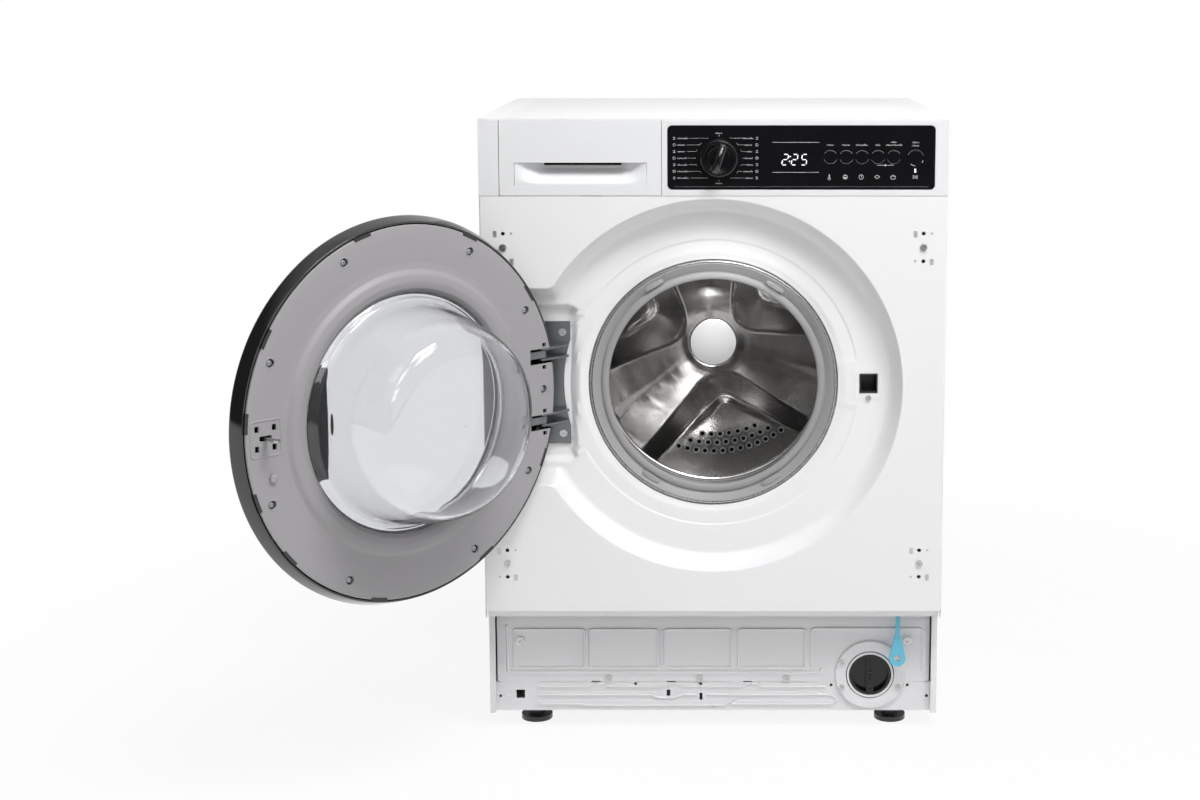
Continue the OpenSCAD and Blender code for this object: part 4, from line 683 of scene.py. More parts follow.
def flat_sheet(inner_ring, holes):
    """Triangles between the outer rectangle, the ring grid and the holes."""
    corners = [(-FLAT_W, FLAT_LOW), (FLAT_W, FLAT_LOW), (FLAT_W, PANEL_TOP), (-FLAT_W, PANEL_TOP)]
    outer = []
    for a, b, steps in zip(corners, corners[1:] + corners[:1], (40, 36, 40, 36)):
        outer += [tuple(np.array(a) + (np.array(b) - np.array(a)) * k / steps) for k in range(steps)]
    loops = [outer, [(p[0], p[2]) for p in inner_ring]] + holes
    points, edges = [], []
    for loop in loops:
        start, n = len(points), len(loop)
        points += [Vector(p) for p in loop]
        edges += [(start + k, start + (k + 1) % n) for k in range(n)]
    verts, _, faces, *_ = delaunay_2d_cdt(points, edges, [], 1, 1e-5)
    hole_reach = [(h, np.mean(h, 0), max(np.linalg.norm(np.array(h) - np.mean(h, 0), axis=1))) for h in holes]
    kept = []
    for face in faces:
        cx = sum(verts[k][0] for k in face) / 3
        cz = sum(verts[k][1] for k in face) / 3
        angle = math.atan2(cz - DRUM_Z, cx)
        if math.hypot(cx, cz - DRUM_Z) < outer_radius(angle) + 2 and inside_loop(cx, cz, loops[1]):
            continue
        if any(math.hypot(cx - c[0], cz - c[1]) < far and inside_loop(cx, cz, h) for h, c, far in hole_reach):
            continue
        kept.append(tuple(face))
    return [(v[0], FRONT, v[1]) for v in verts], kept


def inside_loop(x, z, loop):
    """Whether a place lies inside a closed loop of (x, z)."""
    inside = False
    for k in range(len(loop)):
        (x1, z1), (x2, z2) = loop[k - 1][:2], loop[k][:2]
        if (z1 > z) != (z2 > z) and x < (x2 - x1) * (z - z1) / (z2 - z1) + x1:
            inside = not inside
    return inside


def folded_edges():
    """Rounded side flanges and the bottom flange with its set-back lip."""
    points, faces = [], []

    def strip(path, place):
        """Faces between the two ends of a path. place puts a point of the path at either end."""
        start, n = len(points), len(path)
        points.extend(place(out, back, end) for end in (0, 1) for out, back in path)
        faces.extend([(start + k, start + k + 1, start + n + k + 1, start + n + k) for k in range(n - 1)])

    def bend(radius, steps):
        return [(radius * math.sin(a), radius - radius * math.cos(a))
                for a in np.linspace(0, math.pi / 2, steps)]

    for s in (-1, 1):
        for path, ends in ((bend(FOLD_R, 6) + [(FOLD_R, 6.0), (FOLD_R, FOLD_DEPTH)], (FLAT_LOW, PANEL_TOP)),
                           ([(FOLD_R, FOLD_R), (FOLD_R, FOLD_DEPTH)], (PANEL_LIP_LOW, FLAT_LOW))):
            strip(path, lambda out, back, end: (s * (FLAT_W + out), FRONT + back, ends[end]))
    lip = bend(LIP_R, 5) + [(1.6, 10.6), (2.0, 11.4), (2.8, 11.8), (11.4, 11.8)]
    strip(lip, lambda down, back, end: ((-FLAT_W, FLAT_W)[end], FRONT + back, FLAT_LOW - down))
    return points, faces


def cut_lock_window(piece):
    """Cut the lock's rectangle out of the ring grid along clean lines."""
    bm = bmesh.new()
    bm.from_mesh(piece.data)
    x0, x1 = (LOCK_X - LOCK_W / 2) * MM, (LOCK_X + LOCK_W / 2) * MM
    z0, z1 = (DRUM_Z - LOCK_H / 2) * MM, (DRUM_Z + LOCK_H / 2) * MM
    reach = LOCK_W * MM
    for place, normal in (((x0, 0, 0), (1, 0, 0)), ((x1, 0, 0), (1, 0, 0)),
                          ((0, 0, z0), (0, 0, 1)), ((0, 0, z1), (0, 0, 1))):
        near = [f for f in bm.faces if abs(f.calc_center_median().x - LOCK_X * MM) < reach
                and abs(f.calc_center_median().z - DRUM_Z * MM) < reach]
        parts = near + list({e for f in near for e in f.edges}) + list({v for f in near for v in f.verts})
        bmesh.ops.bisect_plane(bm, geom=parts, plane_co=place, plane_no=normal, dist=1e-6)
    gone = [f for f in bm.faces if x0 < f.calc_center_median().x < x1 and z0 < f.calc_center_median().z < z1]
    bmesh.ops.delete(bm, geom=gone, context="FACES")
    bm.to_mesh(piece.data)
    bm.free()


def thicken(piece, wall):
    """Give a sheet its thickness in millimetres, behind its outer face."""
    sheet_wall = piece.modifiers.new("sheet_thickness", "SOLIDIFY")
    sheet_wall.thickness, sheet_wall.offset = wall * MM, -1
    apply_modifiers(piece)


def build_front_panel():
    grid, grid_faces, last_row = ring_grid()
    sheet, sheet_faces = flat_sheet(last_row, hinge_holes())
    folds, fold_faces = folded_edges()
    points = [tuple(p) for p in grid] + sheet + folds
    a, b = len(grid), len(grid) + len(sheet)
    faces = grid_faces + [tuple(k + a for k in f) for f in sheet_faces]
    faces += [tuple(k + b for k in f) for f in fold_faces]
    panel = make_mesh("pressed_front_panel", points, faces, ENAMEL)
    cut_lock_window(panel)
    bm = bmesh.new()
    bm.from_mesh(panel.data)
    bmesh.ops.remove_doubles(bm, verts=bm.verts, dist=0.02 * MM)
    bmesh.ops.recalc_face_normals(bm, faces=bm.faces)
    front = max(bm.faces, key=lambda f: f.calc_area())
    if front.normal.y > 0:
        bmesh.ops.reverse_faces(bm, faces=bm.faces)
    bm.to_mesh(panel.data)
    bm.free()
    thicken(panel, SHEET)
    smooth(panel, 32.0)
    flat_faces_first(panel)
    return fit(panel, "cabinet", ["front_panel"])


front_panel = build_front_panel()
print("Front panel faces:", len(front_panel.data.polygons))

# %% [markdown]
# The drum's back is pressed from one steel disc. Three pockets run outwards between three arms, and the hub in
# the middle stands furthest forward. Its form follows a rule: the distance from a pocket's outline decides how
# far the sheet sinks from the crown of the arms to the floor of the pocket. A ring grid follows that rule.

# %% Depth of the drum's pressed back
DRUM_LOW, DRUM_HIGH, HUB_Y = -158.0, 142.0, 76.0
DRUM_R, MOUTH_R, HUB_R, DRUM_SHEET = 240.0, 147.0, 33.0, 1.0
POCKET_ANGLES, ARM_ANGLES = (39.0, 159.0, 279.0), (99.0, 219.0, 339.0)
CROWN_R = [0, 32, 35, 37.5, 41, 46, 54, 66, 82, 104, 130, 160, 195, 226, 238.7]
CROWN_Y = [76, 76, 76.6, 78.2, 80.6, 83.8, 88.0, 93.2, 99.2, 106.2, 113, 119.4, 125.4, 131, 137]
OUTER_WEDGE = (96.0, 52.0, math.radians(46.0))
INNER_WEDGE = (112.0, 14.0, math.radians(54.0))


def soft_step(t, corner):
    """A straight ramp from 0 to 1 with small rounded corners at both ends."""
    t = np.clip(t, 0, 1)
    low = np.where(t < corner, t * t / (2 * corner), t - corner / 2)
    high = np.where(t > 1 - corner, 1 - corner - (1 - t) ** 2 / (2 * corner) + corner / 2, low)
    return high / (1 - corner)


def outside_wedge(u, v, wedge):
    """Distance to a wedge with a rounded point: negative inside. u runs outwards, v sideways."""
    start, radius, angle = wedge
    u = u - start
    ahead, side = u * math.cos(angle) + v * math.sin(angle), v * math.cos(angle) - u * math.sin(angle)
    return np.where(ahead < 0, np.hypot(u, v), side) - radius


def back_depth(x, dz):
    """Y of the drum's back at x, dz from the axis, in millimetres."""
    r = np.hypot(x, dz)
    y = np.interp(r, CROWN_R, CROWN_Y)
    for angle in ARM_ANGLES:
        a = math.radians(angle)
        along, across = x * math.cos(a) + dz * math.sin(a), -x * math.sin(a) + dz * math.cos(a)
        width = 24 + 0.16 * np.maximum(along, 0)
        y = y - 7.0 * np.exp(-(across / width) ** 2) * ramp((along - 36) / 90) * ramp((238 - r) / 50)
    sink, low = np.zeros_like(r), np.full_like(r, DRUM_HIGH - 0.6)
    for angle in POCKET_ANGLES:
        a = math.radians(angle)
        u, v = x * math.cos(a) + dz * math.sin(a), np.abs(-x * math.sin(a) + dz * math.cos(a))
        outer, inner = outside_wedge(u, v, OUTER_WEDGE), outside_wedge(u, v, INNER_WEDGE)
        sink = np.maximum(sink, soft_step(-outer / np.maximum(inner - outer, 1e-3), 0.16))
        low = low - 9.0 * ramp((165 - u) / 75) * ramp((-inner + 10) / 16)
    y = y + (low - y) * sink
    return y + (DRUM_HIGH - 0.6 - y) * ramp((r - 229) / 9)


def build_drum_back():
    """The pressed back as a ring grid; the hub disc in the middle takes a near-white painted highlight."""
    radii = np.concatenate([[0.5, 12, 24, 31, 33, 34.5, 36, 38, 40.5], np.linspace(43, 130, 46),
                            np.linspace(133, 226, 36), [229, 232, 235, 238.6]])
    angles = np.linspace(0, 2 * math.pi, 300, endpoint=False)
    a, r = np.meshgrid(angles, radii, indexing="ij")
    x, dz = r * np.cos(a), r * np.sin(a)
    pts = np.stack([x, back_depth(x, dz), DRUM_Z + dz], -1)
    n, m = pts.shape[:2]
    faces = quads(n, m, close_rows=True, close_columns=False)
    points = np.vstack([pts.reshape(-1, 3), [[0, HUB_Y, DRUM_Z]]])
    faces += [(n * m, i * m, ((i + 1) % n) * m) for i in range(n)]
    back = make_mesh("pressed_drum_back", points, faces, DRUM_BACK_STEEL, 70)
    turn_faces_out(back)
    if max(back.data.polygons, key=lambda f: f.area).normal.y > 0:
        back.data.flip_normals()
    thicken(back, DRUM_SHEET)
    back.data.materials.append(STEEL_PAINTED_HIGHLIGHT)
    # The hub disc's faces take the painted highlight finish.
    for face in back.data.polygons:
        x, y, z = np.array(face.center) / MM
        face.material_index = 1 if math.hypot(x, z - DRUM_Z) < HUB_R and y < HUB_Y + 0.6 else 0
    smooth(back, 60)
    return back


drum_back = build_drum_back()
fit(drum_back, "drum", ["drum_back"])
print("Drum back faces:", len(drum_back.data.polygons))

# %% [markdown]
# Steel drums are full of holes: drain holes with a pressed rim in each pocket and hundreds of small ones in the
# wall. All are one small shape set down many times, which is work for Geometry Nodes. The script stores the
# places and the directions of the sheet on a point mesh, and a node group sets a rimmed hole on each of them.
# The holes are not cut: a near-black disc in each paints the shade inside.

# %% A node group that sets one shape on many points
DRAIN_STEP = 13.4


def rimmed_hole(name, hole, rim, height, finish, sides=14):
    """A shallow raised ring round a near-black disc that paints the shade inside the hole, lying in X and Y and
    facing up along Z.
    """
    rings = [(rim, 0.0), (rim * 0.97, height * 0.75), ((rim + hole) / 2, height), (hole * 1.03, height * 0.6),
             (hole, -0.02)]
    points = [(x, y, h) for r, h in rings for x, y in circle(0, 0, r, sides)]
    faces = quads(len(rings), sides)
    faces.append(tuple(range((len(rings) - 1) * sides, len(rings) * sides)))
    shape = make_mesh(name, points, faces, finish, 80)
    # The last face, the disc, takes the painted shade.
    shape.data.materials.append(PAINTED_SHADE_BLACK)
    shape.data.polygons[len(faces) - 1].material_index = 1
    shape.hide_render = True
    return shape


def scatter_group(name, shape, finish):
    """Set the shape on every point, turned to the direction stored there."""
    tree = bpy.data.node_groups.new(name, "GeometryNodeTree")
    tree.interface.new_socket(name="Points", in_out="INPUT", socket_type="NodeSocketGeometry")
    tree.interface.new_socket(name="Scale", in_out="INPUT", socket_type="NodeSocketFloat").default_value = 1.0
    tree.interface.new_socket(name="Shapes", in_out="OUTPUT", socket_type="NodeSocketGeometry")
    start, end = tree.nodes.new("NodeGroupInput"), tree.nodes.new("NodeGroupOutput")
    info, facing, align, spread, real, coat, dark, plain = [tree.nodes.new(kind) for kind in (
        "GeometryNodeObjectInfo", "GeometryNodeInputNamedAttribute", "FunctionNodeAlignRotationToVector",
        "GeometryNodeInstanceOnPoints", "GeometryNodeRealizeInstances", "GeometryNodeSetMaterial",
        "GeometryNodeMaterialSelection", "FunctionNodeBooleanMath")]
    info.inputs["Object"].default_value = shape
    facing.data_type = "FLOAT_VECTOR"
    facing.inputs["Name"].default_value = "facing"
    align.axis = "Z"
    # Faces in the painted shade keep it; all other faces take the piece's finish.
    coat.inputs["Material"].default_value = finish
    dark.inputs["Material"].default_value = PAINTED_SHADE_BLACK
    plain.operation = "NOT"
    for output, target in (
            (facing.outputs["Attribute"], align.inputs["Vector"]),
            (start.outputs["Points"], spread.inputs["Points"]),
            (info.outputs["Geometry"], spread.inputs["Instance"]),
            (align.outputs["Rotation"], spread.inputs["Rotation"]),
            (start.outputs["Scale"], spread.inputs["Scale"]),
            (spread.outputs["Instances"], real.inputs["Geometry"]),
            (dark.outputs["Selection"], plain.inputs[0]),
            (plain.outputs["Boolean"], coat.inputs["Selection"]),
            (real.outputs["Geometry"], coat.inputs["Geometry"]),
            (coat.outputs["Geometry"], end.inputs["Shapes"])):
        tree.links.new(output, target)
    return tree


def scatter(name, places, facings, shape, body, stands_for=None, scale=1.0):
    """Place the shape at every point in millimetres and keep the result as one plain mesh."""
    mesh = bpy.data.meshes.new(name)
    mesh.from_pydata((np.asarray(places, float) * MM).tolist(), [], [])
    facing = mesh.attributes.new("facing", "FLOAT_VECTOR", "POINT")
    facing.data.foreach_set("vector", np.asarray(facings, float).reshape(-1))
    holder = bpy.data.objects.new(name, mesh)
    bpy.context.scene.collection.objects.link(holder)
    maker = holder.modifiers.new("scatter", "NODES")
    tree = scatter_group(name + "_nodes", shape, shape.data.materials[0])
    maker.node_group = tree
    for item in tree.interface.items_tree:
        if item.name == "Scale":
            maker[item.identifier] = scale
    bpy.context.view_layer.update()
    apply_modifiers(holder)
    if "facing" in holder.data.attributes:
        holder.data.attributes.remove(holder.data.attributes["facing"])
    bpy.data.objects.remove(shape)
    return fit(holder, body, stands_for)


def back_normal(x, dz):
    """The direction in which the pressed back faces, from its slope over a short step."""
    step = 0.8
    gx = (back_depth(x + step, dz) - back_depth(x - step, dz)) / (2 * step)
    gz = (back_depth(x, dz + step) - back_depth(x, dz - step)) / (2 * step)
    n = np.stack([gx, -np.ones_like(gx), gz], -1)
    return n / np.linalg.norm(n, axis=1)[:, None]


def drain_places():
    """Three rows of drain holes in each pocket, an even step apart."""
    spots = []
    for angle in POCKET_ANGLES:
        for radius, count in ((151.0, 7), (164.0, 10), (177.0, 13)):
            for k in range(count):
                a = math.radians(angle) + (k - (count - 1) / 2) * DRAIN_STEP / radius
                spots.append((radius * math.cos(a), radius * math.sin(a)))
    spots = np.array(spots)
    y = back_depth(spots[:, 0], spots[:, 1])
    normals = back_normal(spots[:, 0], spots[:, 1])
    places = np.stack([spots[:, 0], y, spots[:, 1] + DRUM_Z], -1) + normals * 0.12
    return places, normals


places, normals = drain_places()
# The drain holes' rims take the same painted highlight as the hub, a near-white that looks lit.
drain_holes = scatter("drain_holes", places, normals, rimmed_hole("drain_hole_shape", 3.2, 4.9, 1.1, STEEL_PAINTED_HIGHLIGHT),
                      "drum")
print("Drain holes:", len(places), "faces:", len(drain_holes.data.polygons))

# %% [markdown]
# The drum's wall is sheet rolled to a cylinder. Three rolled lines keep it round, and its mouth is curled
# inwards so that no edge catches the washing. Small holes cover it in offset rows, except on the rolled lines
# and where the lifters stand.

# %% Drum wall with its rolled mouth and perforations
ROLLED_LINES = (-90.0, -20.0, 50.0)
HOLES_ROUND, ROW_STEP = 84, 15.0


def build_drum_wall():
    t = DRUM_SHEET
    outer = [(MOUTH_R + 3.0, DRUM_LOW + 0.5), (MOUTH_R + 16, DRUM_LOW - 0.4), (200, DRUM_LOW),
             (228, DRUM_LOW + 1), (DRUM_R, DRUM_LOW + 13)]
    for y in ROLLED_LINES:
        outer += [(DRUM_R, y - 7), (DRUM_R - 1.6, y), (DRUM_R, y + 7)]
    outer += [(DRUM_R, DRUM_HIGH - 4), (DRUM_R, DRUM_HIGH)]
    inner = [(r - t, max(y, DRUM_LOW + t)) for r, y in reversed(outer[4:])]
    inner += [(227, DRUM_LOW + 1 + t), (200, DRUM_LOW + t), (MOUTH_R + 16, DRUM_LOW + t),
              (MOUTH_R + 3.0, DRUM_LOW + t + 0.3)]
    wall = lathe("turned_drum_wall", round_corners([(r, y, 0) for r, y in outer + inner], 4.0, 3), DRUM_STEEL,
                 segments=160, crisp=60)
    rim = lathe("rolled_drum_mouth", circle(MOUTH_R, DRUM_LOW, 3.4, 14), DRUM_STEEL, segments=160, crisp=80)
    whole = join_pieces("drum_wall_with_mouth", [wall, rim])
    smooth(whole, 60)
    return fit(whole, "drum", ["drum_wall"])


def wall_places():
    """Offset rows of holes, clear of the rolled lines and of the lifters."""
    spots, normals, r = [], [], DRUM_R - DRUM_SHEET - 0.1
    for row, y in enumerate(np.arange(-138, 124, ROW_STEP)):
        if min(abs(y - line) for line in ROLLED_LINES) < 9:
            continue
        for k in range(HOLES_ROUND):
            a = 2 * math.pi * (k + 0.5 * (row % 2)) / HOLES_ROUND
            if min(abs((math.degrees(a) - s + 180) % 360 - 180) for s in ARM_ANGLES) < 10:
                continue
            spots.append((r * math.cos(a), y, DRUM_Z + r * math.sin(a)))
            normals.append((-math.cos(a), 0, -math.sin(a)))
    return spots, normals


build_drum_wall()
places, normals = wall_places()
# Each small hole is a rim round a near-black disc of painted shade.
scatter("drum_wall_holes", places, normals, rimmed_hole("wall_hole_shape", 1.9, 2.9, 0.35, DRUM_STEEL, 8),
        "drum")
print("Wall holes:", len(places))

# %% [markdown]
# The door seal is one rubber moulding. Its front ring grips the neck of the front panel, a groove takes the
# clamp wire, and a soft lip touches the glass. Behind the lip, bellows lead to the tub. Four flat pads on the
# front ring help the hand that fits it. The ring is turned, and the pads are small raised blocks laid along it.

# %% Door seal with its pads, and the clamp wire
SEAL_FRONT = FRONT + 31.0
PAD_R, PAD_ANGLES = 150.0, (120.6, 57.8, 237.0, 300.5)
CLAMP_Y, CLAMP_R = FRONT + 34.3, 159.7


def build_seal():
    """The seal's turned ring and its four pads as one piece, in place of the CAD seal."""
    y = SEAL_FRONT
    front = [(136.0, y + 9), (136.3, y + 6.2), (137.6, y + 4.8), (140, y + 4.2), (143.5, y + 4.4),
             (145.4, y + 5.6), (146.4, y + 7.4), (147.6, y + 6.9), (149.5, y + 5.0), (155.5, y + 0.6),
             (157.2, y - 0.2), (158.0, y + 0.8), (158.0, y + 5)]
    back = [(161.7, y + 5.2), (161.7, y + 13), (157, y + 15), (152, y + 27), (160, y + 37), (160, y + 46),
            (176, y + 54), (176, y + 68), (169.4, y + 68), (169.4, y + 60), (156.5, y + 50), (156.5, y + 39),
            (148, y + 28), (146, y + 19), (141, y + 13)]
    profile = front + round_corners([(r, d, 0) for r, d in back], 2.0, 2, closed=False)
    ring = lathe("seal_ring", [(p[0], p[1]) for p in profile], GREY_RUBBER, segments=200, crisp=60)
    pads = [seal_pad(angle) for angle in PAD_ANGLES]
    whole = join_pieces("moulded_door_seal", [ring] + pads)
    smooth(whole, 50)
    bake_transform(whole)
    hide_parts("door_seal")
    return whole


def seal_pad(angle):
    """A low lozenge along the ring, with rounded ends and sloping sides."""
    half, width, steps = math.degrees(13.5 / 149.0), 3.7, 10
    outline = [(-side * (2 * half * k / steps - half), side) for side in (-1, 1) for k in range(steps + 1)]
    points, n = [], len(outline)
    for lift, shrink in ((6.5, 1.0), (1.6, 0.93), (1.0, 0.80)):
        for a, side in outline:
            slim = 1 - 0.45 * (abs(a) / half) ** 6
            x, z = on_ring(PAD_R + side * width * slim * shrink, angle + a * shrink)
            points.append((x, SEAL_FRONT + lift, z))
    faces = quads(3, n) + [tuple(range(2 * n, 3 * n)), tuple(range(n))]
    pad = make_mesh("seal_pad", points, faces, GREY_RUBBER, 50)
    turn_faces_out(pad)
    return pad


def build_clamp():
    """A spring wire round the seal's groove with a coil tensioner at the lower right."""
    wire = lathe("clamp_wire", circle(CLAMP_R, CLAMP_Y, 1.2, 8), SCREW_STEEL, segments=160, crisp=80)
    parts = [wire] + [coil_turn(angle) for angle in np.arange(-34, -8, 0.72)]
    whole = join_pieces("clamp_wire_with_coil", parts)
    smooth(whole, 80)
    return fit(whole, "cabinet", ["seal_clamp"])


def coil_turn(angle):
    """One closed loop of thin wire about the ring's tangent."""
    big, thin, sides, tube, t = 2.0, 0.55, 12, 5, math.radians(angle)
    radial, tangent = np.array([math.cos(t), 0, math.sin(t)]), np.array([-math.sin(t), 0, math.cos(t)])
    middle = np.array([0, CLAMP_Y, DRUM_Z]) + radial * CLAMP_R
    points = []
    for i in range(sides):
        a = 2 * math.pi * i / sides
        out = radial * math.cos(a) + np.array([0, 1, 0]) * math.sin(a)
        for j in range(tube):
            b = 2 * math.pi * j / tube
            points.append(tuple(middle + out * (big + thin * math.cos(b)) + tangent * thin * math.sin(b)))
    turn = make_mesh("coil_turn", points, quads(sides, tube, close_rows=True), SCREW_STEEL, 80)
    turn_faces_out(turn)
    return turn


seal, clamp = build_seal(), build_clamp()
print("Seal faces:", len(seal.data.polygons), "clamp faces:", len(clamp.data.polygons))

# %% [markdown]
# The open door shows its inner side: a grey moulded frame in a glossy black cover, held by recessed screws,
# with the glass bowl on the frame's ledge. All the rings are turned. Slots for the hinge eyes and the hook are
# cut with plain boxes, and fine raised lines are swept as low beads, as the mould would press them.

# %% Helpers for cuts, beads and screws
Y_OUT, Y_IN, WINDOW_R, HOOK_X, ARM_Z, SLOT_HALF = DOOR_OUT, DOOR_IN, 147.0, 202.0, 43.0, 10.0
SCREW_ANGLES, SCREW_RING = (24, 65, 117, 150, 180, -151, -117, -64, -22), 211
CLIP_ANGLES = (5, 30, 74, 115, 146, -157, -120, -77, -40, -19)


def box_mesh(name, low, high, finish, on_door=False):
    """A plain box between two corners in millimetres."""
    (x0, y0, z0), (x1, y1, z1) = low, high
    pts = [(x0, y0, z0), (x1, y0, z0), (x1, y1, z0), (x0, y1, z0), (x0, y0, z1), (x1, y0, z1), (x1, y1, z1),
           (x0, y1, z1)]
    faces = [(0, 3, 2, 1), (4, 5, 6, 7), (0, 1, 5, 4), (1, 2, 6, 5), (2, 3, 7, 6), (3, 0, 4, 7)]
    return make_mesh(name, on_open_door(pts) if on_door else pts, faces, finish)


def cut(piece, cutters):
    """Take every cutter out of the piece."""
    tool = join_pieces("cutter", cutters)
    knife = piece.modifiers.new("cut", "BOOLEAN")
    knife.operation, knife.solver, knife.object = "DIFFERENCE", "MANIFOLD", tool
    apply_modifiers(piece)
    bpy.data.objects.remove(tool)
    return piece


def soft_profile(corners):
    """A profile from corners (r, y, radius of the corner)."""
    return round_corners([(r, y, 0) for r, y, radius in corners], [radius for r, y, radius in corners], 4)


def soft_curve(points):
    """Corner cutting on an open line: each of two rounds replaces a corner by two points."""
    for _ in range(2):
        new = [points[0]]
        for a, b in zip(points, points[1:]):
            new += [tuple(near * p + (1 - near) * q for p, q in zip(a, b)) for near in (0.75, 0.25)]
        points = new + [points[-1]]
    return points


def rounded_outline(x0, z0, x1, z1, radius, steps=5):
    """Corner points of a rounded rectangle, counter-clockwise."""
    left, right, low, high, points = x0 + radius, x1 - radius, z0 + radius, z1 - radius, []
    for cx, cz, start in ((right, high, 0), (left, high, 90), (left, low, 180), (right, low, 270)):
        for k in range(steps + 1):
            a = math.radians(start + 90 * k / steps)
            points.append((cx + radius * math.cos(a), cz + radius * math.sin(a)))
    return points


def bead(name, outline, y, width, height, finish, side=-1, closed=True, on_door=False):
    """A low round bead swept along points (x, z) on the plane y. side is the way it stands out along Y."""
    section = [(-0.5, -0.3), (-0.36, 0.62), (-0.14, 0.96), (0.14, 0.96), (0.36, 0.62), (0.5, -0.3)]
    line, m = np.array(outline, float), len(section)
    n = len(line)
    before, after = np.roll(line, 1, axis=0), np.roll(line, -1, axis=0)
    if not closed:
        before[0], after[-1] = line[0], line[-1]
    along = after - before
    along /= np.linalg.norm(along, axis=1)[:, None]
    across = np.stack([-along[:, 1], along[:, 0]], -1)
    points = [(p[0] + s * width * c[0], y + side * h * height, p[1] + s * width * c[1])
              for p, c in zip(line, across) for s, h in section]
    faces = quads(n, m, close_rows=closed)
    if not closed:
        faces += [tuple(range(m)), tuple(range(n * m - 1, n * m - m - 1, -1))]
    strip = make_mesh(name, on_open_door(points) if on_door else points, faces, finish, 60)
    turn_faces_out(strip)
    return strip


def cross_screw(name, head, height, finish):
    """A pan head of 16 sides with a cross recess of 12 corners, facing up along Z."""
    sides = 16
    rings = [(head, 0.0), (head * 0.98, height * 0.45), (head * 0.80, height * 0.88), (head * 0.50, height)]
    points = [(x, y, h) for r, h in rings for x, y in circle(0, 0, r, sides)]
    faces = quads(len(rings), sides)
    arm, base = head * 0.36, len(points)
    corners = [(1, 0.28), (0.28, 0.28), (0.28, 1), (-0.28, 1), (-0.28, 0.28), (-1, 0.28), (-1, -0.28),
               (-0.28, -0.28), (-0.28, -1), (0.28, -1), (0.28, -0.28), (1, -0.28)]
    points += [(arm * x, arm * z, height) for x, z in corners]
    points += [(arm * x * 0.8, arm * z * 0.8, height * 0.35) for x, z in corners]
    faces += [(base + k, base + 12 + k, base + 12 + (k + 1) % 12, base + (k + 1) % 12) for k in range(12)]
    faces.append(tuple(range(base + 12, base + 24)))
    top = 3 * sides
    for q in range(4):
        rim = [top + (4 * q + j) % sides for j in range(5)]
        faces.append(tuple(rim + [base + 3 * q + 2, base + 3 * q + 1, base + 3 * q]))
        faces.append((rim[0], base + 3 * q, base + (3 * q - 1) % 12))
    shape = make_mesh(name, points, faces, finish, 40)
    turn_faces_out(shape)
    shape.hide_render = True
    return shape


def prism(name, outline, y0, y1, finish):
    """A block on the open door from an outline (x, z) between two depths."""
    n = len(outline)
    points = [(x, y, z) for y in (y0, y1) for x, z in outline]
    faces = [tuple(range(n)), tuple(range(n, 2 * n))]
    faces += [(k, (k + 1) % n, n + (k + 1) % n, n + k) for k in range(n)]
    block = make_mesh(name, on_open_door(points), faces, finish)
    turn_faces_out(block)
    return block


print("Helpers for cuts, beads, screws and blocks are ready")

# %% [markdown]
# The door is built from the outside in: the glossy cover with its rolled rim, the grey frame with its screw
# wells, square holes and raised lines, the blown glass bowl, the ribbed grip that shows through the glass, and
# the dark clips round the rim. All of it is drawn on the closed door and turned to the open place.

# %% Door cover, frame, bowl, grip and clips
def door_slots():
    """The two slots in which the hinge eyes stand."""
    return [box_mesh("slot", (HINGE_X - 40, HINGE_Y - 8, z - SLOT_HALF),
                     (HINGE_X + 31, Y_IN + 20, z + SLOT_HALF), PAINTED_SHADE_BLACK, True)
            for z in (DRUM_Z - ARM_Z, DRUM_Z + ARM_Z)]


def build_cover():
    r0 = WINDOW_R + 3
    outside = [(r0, Y_OUT, 0.6), (227, Y_OUT, 8), (235, Y_OUT + 3.5, 4), (239, Y_OUT + 10, 3.4),
               (232, Y_IN - 2, 0.7), (229.4, Y_IN - 2, 0.7), (236, Y_OUT + 10, 2), (231, Y_OUT + 6, 3),
               (226, Y_OUT + 3, 2), (r0 + 3, Y_OUT + 3, 0.4), (r0 + 3, Y_OUT + 6, 0.4), (r0, Y_OUT + 6, 0.4)]
    cover = lathe("turned_door_cover", soft_profile(outside), BLACK_GLOSS, segments=240, on_door=True, crisp=50)
    cut(cover, door_slots())
    smooth(cover, 45)
    return fit(cover, "door", ["door_cover"])


def frame_cutters():
    """Tools for the hook's slot, the square holes round hook and hinges, and the screw wells."""
    y0, y1 = Y_IN - 5, Y_IN + 1
    holes = [("hook_slot", HOOK_X, DRUM_Z, 8, 3)]
    for sx in (-1, 1):
        for sz in (-1, 1):
            holes.append(("square_hole", HOOK_X + sx * 11.5, DRUM_Z + sz * 11.5, 2.8, 3.6))
            holes.append(("square_hole", -212.5, DRUM_Z + sx * ARM_Z + sz * 14.5, 3.0, 2.6))
    cutters = door_slots() + [box_mesh(name, (x - w, y0, z - h), (x + w, y1, z + h), PAINTED_SHADE_BLACK, True)
                              for name, x, z, w, h in holes]
    for angle in SCREW_ANGLES:
        well = circle(*on_ring(SCREW_RING, angle), 5.2, 24)
        cutters.append(prism("screw_well", well, Y_IN - 4, y1, PAINTED_SHADE_BLACK))
    return cutters


